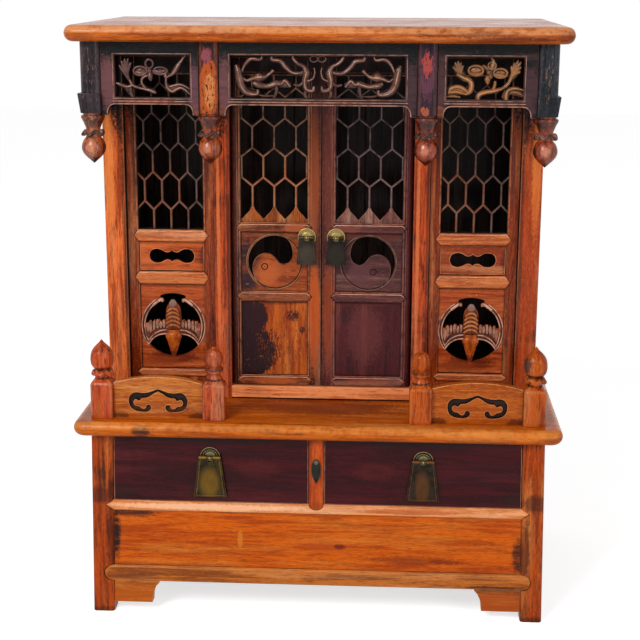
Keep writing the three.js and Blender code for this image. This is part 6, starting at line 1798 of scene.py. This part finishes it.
flower_spray = {
    "limbs": (
        ((0.19, 0.40, 0.030), (0.23, 0.28, 0.034), (0.31, 0.22, 0.034), (0.41, 0.18, 0.038),
         (0.50, 0.13, 0.055), (0.54, 0.09, 0.030)),
        ((-0.02, 0.35, 0.015), (0.08, 0.28, 0.042), (0.16, 0.24, 0.034), (0.22, 0.27, 0.03)),
        ((0.20, 0.22, 0.03), (0.20, 0.10, 0.045), (0.235, -0.04, 0.035)),
        ((0.44, 0.52, 0.020), (0.365, 0.45, 0.030), (0.35, 0.35, 0.030), (0.375, 0.26, 0.030),
         (0.42, 0.18, 0.02)),
        ((0.68, 0.60, 0.02), (0.67, 0.48, 0.036), (0.73, 0.51, 0.024), (0.785, 0.60, 0.050),
         (0.83, 0.73, 0.056), (0.88, 0.85, 0.034), (0.95, 1.03, 0.012)),
        ((0.68, 0.48, 0.024), (0.675, 0.34, 0.030), (0.70, 0.21, 0.042), (0.76, 0.14, 0.048),
         (0.82, 0.19, 0.036), (0.88, 0.22, 0.036), (0.94, 0.16, 0.034), (1.02, 0.02, 0.020)),
        ((0.71, 0.24, 0.02), (0.79, 0.28, 0.030), (0.87, 0.30, 0.032), (0.94, 0.25, 0.030),
         (1.02, 0.16, 0.014)),
        ((0.40, 0.60, 0.03), (0.34, 0.565, 0.050), (0.275, 0.60, 0.03)),
        ((0.50, 0.62, 0.03), (0.59, 0.60, 0.042), (0.67, 0.63, 0.03)),
        ((0.46, 0.58, 0.03), (0.468, 0.48, 0.058), (0.475, 0.385, 0.02)),
        ((0.455, 0.68, 0.02), (0.46, 0.62, 0.052), (0.465, 0.56, 0.02))),
    "fans": (
        ((0.20, 0.34), (0.13, 0.56),
         ((0.055, 0.76), (0.09, 0.86), (0.135, 0.92), (0.18, 0.92), (0.22, 0.82)), 0.031),),
    "loops": (
        (0.335, 0.62, 0.088, 0.105, 0.022), (0.605, 0.625, 0.088, 0.085, 0.022),
        (0.457, 0.79, 0.050, 0.105, 0.022)),
    "webs": (
        ((0.175, 0.42, 0.03), (0.14, 0.58, 0.065), (0.125, 0.72, 0.085), (0.13, 0.86, 0.06)),
        ((0.27, 0.62, 0.03), (0.335, 0.61, 0.075), (0.40, 0.63, 0.03)),
        ((0.54, 0.62, 0.03), (0.605, 0.615, 0.060), (0.67, 0.63, 0.03)),
        ((0.69, 0.28, 0.03), (0.76, 0.20, 0.070), (0.86, 0.25, 0.055), (0.96, 0.12, 0.06)),
        ((0.05, 0.32, 0.02), (0.14, 0.22, 0.045), (0.20, 0.08, 0.05)))}
gilded_spray = {
    "limbs": (
        ((0.13, 0.60, 0.05), (0.21, 0.52, 0.062), (0.30, 0.44, 0.055), (0.325, 0.32, 0.055),
         (0.30, 0.18, 0.055), (0.25, 0.12, 0.03)),
        ((0.02, 0.12, 0.03), (0.05, 0.24, 0.042), (0.13, 0.30, 0.042), (0.21, 0.26, 0.042),
         (0.28, 0.16, 0.03)),
        ((0.04, 0.16, 0.03), (0.12, 0.18, 0.040), (0.20, 0.15, 0.036), (0.27, 0.11, 0.02)),
        ((-0.02, 0.06, 0.02), (0.08, 0.07, 0.030), (0.18, 0.05, 0.020)),
        ((0.41, -0.05, 0.05), (0.42, 0.10, 0.055), (0.50, 0.17, 0.050), (0.60, 0.20, 0.044),
         (0.72, 0.26, 0.040), (0.80, 0.38, 0.040), (0.84, 0.52, 0.036)),
        ((0.63, 0.44, 0.028), (0.625, 0.32, 0.034), (0.60, 0.22, 0.028)),
        ((0.78, -0.04, 0.05), (0.78, 0.14, 0.050), (0.82, 0.24, 0.045), (0.90, 0.27, 0.040),
         (1.02, 0.22, 0.020)),
        ((0.84, 0.16, 0.02), (0.90, 0.18, 0.030), (1.02, 0.08, 0.016)),
        ((0.30, 0.62, 0.03), (0.38, 0.585, 0.046), (0.47, 0.62, 0.03)),
        ((0.62, 0.60, 0.03), (0.70, 0.57, 0.046), (0.77, 0.54, 0.03)),
        ((0.53, 0.56, 0.03), (0.53, 0.47, 0.060), (0.535, 0.36, 0.02)),
        ((0.52, 0.66, 0.025), (0.545, 0.64, 0.055), (0.57, 0.62, 0.02)),
        ((0.57, 0.70, 0.03), (0.59, 0.80, 0.058), (0.60, 0.90, 0.04), (0.56, 1.03, 0.02))),
    "fans": (
        ((0.24, 0.48), (0.14, 0.64),
         ((0.075, 0.78), (0.105, 0.88), (0.145, 0.91), (0.185, 0.88), (0.22, 0.80)), 0.031),
        ((0.82, 0.48), (0.87, 0.64),
         ((0.83, 0.80), (0.87, 0.88), (0.92, 0.94), (0.96, 0.90), (0.965, 0.78), (0.96, 0.66)), 0.033)),
    "loops": (
        (0.375, 0.685, 0.095, 0.115, 0.024), (0.695, 0.625, 0.088, 0.105, 0.024),
        (0.585, 0.80, 0.050, 0.09, 0.022)),
    "webs": (
        ((0.25, 0.46, 0.06), (0.17, 0.62, 0.085), (0.14, 0.76, 0.085), (0.14, 0.86, 0.05)),
        ((0.03, 0.12, 0.04), (0.10, 0.20, 0.085), (0.20, 0.20, 0.085), (0.29, 0.16, 0.05)),
        ((0.30, 0.67, 0.03), (0.375, 0.68, 0.085), (0.45, 0.70, 0.03)),
        ((0.62, 0.62, 0.03), (0.695, 0.62, 0.080), (0.76, 0.63, 0.03)),
        ((0.46, 0.80, 0.03), (0.54, 0.72, 0.060), (0.57, 0.62, 0.06), (0.56, 0.50, 0.05)),
        ((0.83, 0.46, 0.05), (0.88, 0.62, 0.075), (0.91, 0.76, 0.085), (0.93, 0.88, 0.04)),
        ((0.76, 0.02, 0.07), (0.80, 0.18, 0.070), (0.90, 0.18, 0.070), (1.0, 0.10, 0.05)))}
scroll_half = {
    "limbs": (
        ((0.030, 0.78, 0.035), (0.040, 0.68, 0.075), (0.050, 0.48, 0.085), (0.062, 0.28, 0.085),
         (0.095, 0.12, 0.080), (0.150, 0.09, 0.055), (0.155, 0.20, 0.035)),
        ((0.155, 0.07, 0.02), (0.20, 0.04, 0.026), (0.26, 0.05, 0.018)),
        ((0.062, 0.60, 0.030), (0.085, 0.80, 0.036), (0.120, 0.93, 0.050), (0.170, 0.91, 0.035),
         (0.185, 1.03, 0.02)),
        ((0.235, 1.03, 0.030), (0.240, 0.91, 0.048), (0.285, 0.88, 0.055), (0.318, 0.72, 0.050),
         (0.357, 0.60, 0.046), (0.405, 0.60, 0.040), (0.430, 0.66, 0.04)),
        ((0.064, 0.50, 0.020), (0.092, 0.41, 0.030), (0.128, 0.46, 0.045), (0.162, 0.50, 0.110),
         (0.196, 0.50, 0.050), (0.225, 0.58, 0.034), (0.245, 0.66, 0.045)),
        ((0.130, 0.36, 0.045), (0.160, 0.30, 0.070), (0.210, 0.28, 0.055), (0.262, 0.34, 0.070),
         (0.290, 0.33, 0.035), (0.312, 0.41, 0.040), (0.342, 0.27, 0.040)),
        ((0.262, 0.30, 0.035), (0.262, 0.14, 0.040), (0.245, -0.04, 0.030)),
        ((0.355, 1.03, 0.025), (0.360, 0.93, 0.040), (0.385, 0.82, 0.040), (0.418, 0.75, 0.045),
         (0.434, 0.60, 0.085), (0.424, 0.42, 0.055), (0.432, 0.22, 0.055), (0.470, 0.18, 0.055),
         (0.478, 0.28, 0.03)),
        ((0.424, 0.40, 0.030), (0.395, 0.30, 0.034), (0.362, 0.32, 0.025)),
        ((0.434, 0.22, 0.03), (0.425, 0.08, 0.040), (0.440, -0.04, 0.030)),
        ((0.440, 0.40, 0.02), (0.470, 0.46, 0.022), (0.482, 0.60, 0.022), (0.478, 0.72, 0.015))),
    "fans": (), "loops": ((0.477, 0.93, 0.022, 0.07, 0.018),),
    "webs": (
        ((0.125, 0.46, 0.03), (0.165, 0.50, 0.120), (0.205, 0.50, 0.04)),
        ((0.250, 0.33, 0.04), (0.295, 0.32, 0.080), (0.345, 0.30, 0.06)),
        ((0.434, 0.70, 0.05), (0.430, 0.50, 0.080), (0.430, 0.30, 0.06)),
        ((0.050, 0.40, 0.05), (0.075, 0.20, 0.080), (0.130, 0.10, 0.06)))}


def carried(limbs, left, right, y, thin=1.0, rise=0.0, flip=False):
    """Limbs given as shares of an opening, laid into it as flowing lines."""
    strokes = []
    for limb in limbs:
        closed = limb[0] == limb[-1]
        line = flowing(limb[:-1], 2, True) if closed else flowing(limb, 5)
        stroke = []
        for x, z, half_width in line + line[:1] if closed else line:
            x = 1 - x if flip else x
            width = max(half_width, 0.010) * 1.22 * frieze_open_height
            stroke.append((
                left + x * (right - left), y - rise * width, frieze_open_bottom + z * frieze_open_height,
                width * thin))
        strokes.append(stroke)
    return strokes


def spray_strokes(spray, left, right, flip=False):
    """The strokes of one spray: stems with leaves and petals, their ridges, and the low ground."""
    fans = [rib for fan in spray["fans"] for rib in leaf_fan(*fan)]
    loops = [petal_loop(*loop) for loop in spray["loops"]]
    limbs = (carried(spray["limbs"], left, right, carving_y, flip=flip)
             + carried(fans, left, right, carving_y - 0.0004, flip=flip)
             + carried(loops, left, right, carving_y - 0.0010, flip=flip))
    ridges = [limb for limb in spray["limbs"] if len(limb) > 3]
    webs = carried(spray["webs"], left, right, carving_y + 0.002, flip=flip)
    return limbs, carried(ridges, left, right, carving_y, 0.26, 0.62, flip), webs


def arched_outline(left, right):
    """The board's outline with its two hanging corners."""
    def corner(edge, way):
        """The curve from a hanging tip up to the arch."""
        start = (edge + way * frieze_foot, frieze_tip)
        turn_at = (edge + way * frieze_foot, frieze_arch)
        end = (edge + way * (frieze_foot + frieze_corner), frieze_arch)
        return [
            tuple(
                (1 - t) ** 2 * a + 2 * t * (1 - t) * b + t * t * c
                for a, b, c in zip(start, turn_at, end))
            for t in (i / 8 for i in range(9))]

    return ([(left, frieze_top), (left, frieze_tip)] + corner(left, 1) + list(reversed(corner(right, -1)))
            + [(right, frieze_tip), (right, frieze_top)])


frieze_parts = (
    ("frieze_left", -0.3457, -0.1893, 0.022, 0.014, flower_spray, ("362022", "201518", "100a0c", "745048"),
     0.71),
    ("frieze_right", 0.1893, 0.3457, 0.014, 0.022, gilded_spray, ("583620", "38221a", "180e0e", "a87448"),
     0.53),
    ("frieze_centre", -0.1567, 0.1567, 0.018, 0.018, scroll_half, ("382220", "201416", "100a0c", "785042"),
     0.17))
gilt_places = {
    "frieze_left": ((0.34, 0.56, 0.09), (0.78, 0.18, 0.08), (0.16, 0.25, 0.05)),
    "frieze_right": (
        (0.40, 0.60, 0.10), (0.28, 0.30, 0.10), (0.12, 0.25, 0.10), (0.53, 0.46, 0.06), (0.74, 0.57, 0.09),
        (0.55, 0.2, 0.12), (0.87, 0.66, 0.07)),
    "frieze_centre": (
        (0.162, 0.50, 0.035), (0.245, 0.64, 0.02), (0.31, 0.36, 0.035), (0.434, 0.58, 0.03),
        (0.838, 0.50, 0.035), (0.75, 0.62, 0.025), (0.69, 0.36, 0.03), (0.566, 0.56, 0.035),
        (0.57, 0.30, 0.03), (0.93, 0.25, 0.03))}

for node, left, right, left_stile, right_stile, spray, shades, seed in frieze_parts:
    middle = (left + right) / 2
    short = spray is not scroll_half
    open_left, open_right = left + left_stile, right - right_stile
    # The purple-grey patches on the two end stiles are a painted sheen.
    frieze_lacquer_and_sheen = old_lacquer(
        node + "_lacquer", "151719", "0e1012", "08090a", "6a4a44", "x", 0.4, 0.7, 0.34, 0.9,
        [((middle, frieze_front, 0.880), (0.075 if short else 0.15, 0.02, 0.0035), "8a4028",
          0.75 if short else 0.45),
         ((right if node == "frieze_left" else left, frieze_front, 0.868), (0.016, 0.02, 0.012), "964a26",
          0.8 if short else 0.4),
         ((middle, frieze_front, 0.869), (0.16, 0.02, 0.006), "3e2c30", 0.7),
         ((left + left_stile / 2, frieze_front, 0.908), (left_stile, 0.02, 0.052), "6c4446",
          0.35 if node == "frieze_right" else 0.85),
         ((right - right_stile / 2, frieze_front, 0.900), (right_stile, 0.02, 0.048), "644248",
          0.85 if node == "frieze_left" else 0.4)], seed=seed)
    gilding = []
    for x, z, reach in gilt_places[node]:
        gilt_at = (
            open_left + x * (open_right - open_left), carving_y - 0.004,
            frieze_open_bottom + z * frieze_open_height)
        gilding.append((gilt_at, (reach * 0.17, 0.02, reach * 0.17), "c88044", 0.6))
    carving_lacquer = old_lacquer(
        node + "_carving_lacquer", *shades, "x", 0.35, 0.8, 0.24, 0.6,
        [(place, reach, "90582f", 0.5 if node == "frieze_right" else 0.15)
         for place, reach, _, _ in gilding],
        seed=seed + 0.05, glaze=0.3)
    ridge_lacquer = old_lacquer(
        node + "_ridge_lacquer", shades[0], shades[1], shades[2],
        "d89c68" if node == "frieze_right" else "cc9274", "x", 0.3, 0.8, 0.22, 0.85, gilding,
        seed=seed + 0.07, glaze=0.3)
    bead_lacquer = old_lacquer(
        node + "_bead_lacquer", "543430", "362224", "1c1214", "b88874", "x", 0.35, 0.6, 0.28, 0.85,
        seed=seed + 0.3)
    board = pierced_board(
        arched_outline(left, right),
        [rectangle(open_left, open_right, frieze_open_bottom, frieze_open_top)], frieze_front,
        frieze_thickness)
    set_in_place(
        node + "_board", ease_edges(board, thin_edge), frieze_lacquer_and_sheen, "carcass", "lacquer_black", node)
    round_opening = rectangle(
        open_left - bead_away, open_right + bead_away, frieze_open_bottom - bead_away,
        frieze_open_top + bead_away)
    beads = [bead_round(round_opening, frieze_front, 0.0010),
             [(x, frieze_front, frieze_open_bottom - 0.0064, 0.0011)
              for x in (open_left - 0.004, middle, open_right + 0.004)]]
    beads.append([(x, frieze_front, z + 0.0014, 0.0012) for x, z in arched_outline(left, right)[2:-2]])
    carved(node + "_beads", beads, bead_lacquer, "lacquer_black", "carcass", Height=0.9)
    limbs, ridges, webs = spray_strokes(spray, open_left, open_right)
    if not short:
        for strokes, flipped in zip(
                (limbs, ridges, webs), spray_strokes(spray, open_left, open_right, True)):
            strokes += flipped
    carved(node + "_carving", limbs, carving_lacquer, "lacquer_black", "carcass", Height=0.85, Crest=0.70)
    carved(node + "_ridges", ridges, ridge_lacquer, "lacquer_black", "carcass", Height=0.9, Crest=0.30)
    carved(
        node + "_carving_ground", webs, carving_lacquer, "lacquer_black", "carcass", Height=0.5, Crest=0.95)


# Side friezes: the same board without carving, tying each outer hanging post to its corner
# post, with a sunk panel on its outer face.
for word, side in sides:
    side_lacquer = old_lacquer(
        "frieze_side_lacquer_" + word, "1f1c1f", "141316", "0c0b0c", "7a5a50", "y", 0.4, 0.6, 0.36, 0.7,
        seed=side * 0.19)
    dressed(f"frieze_side_{word}", side_lacquer, "lacquer_black", thin_edge)


# Top board: a second wide plank like the table board, dowelled down on the posts. Its top
# is washed pale by light; stains run along the right half and the rounded edge is worn.
top_lacquer = old_lacquer(
    "top_board_lacquer", "be5c0e", "943a04", "521c06", "eaa670", "x", 0.25, 0.5, 0.22, 0.55,
    [((0.22, -0.2375, 0.990), (0.12, 0.012, 0.008), "6a220e", 0.75),
     ((0.30, -0.2375, 0.980), (0.10, 0.012, 0.006), "4a1a0c", 0.6),
     ((-0.37, -0.23, 0.985), (0.03, 0.02, 0.012), "7a3412", 0.5),
     ((0.39, -0.23, 0.985), (0.03, 0.02, 0.012), "6a2a10", 0.7)])
wide_board("top_board_dressed", 0.800, 1.000, top_lacquer, "lacquer_orange", "top_board")
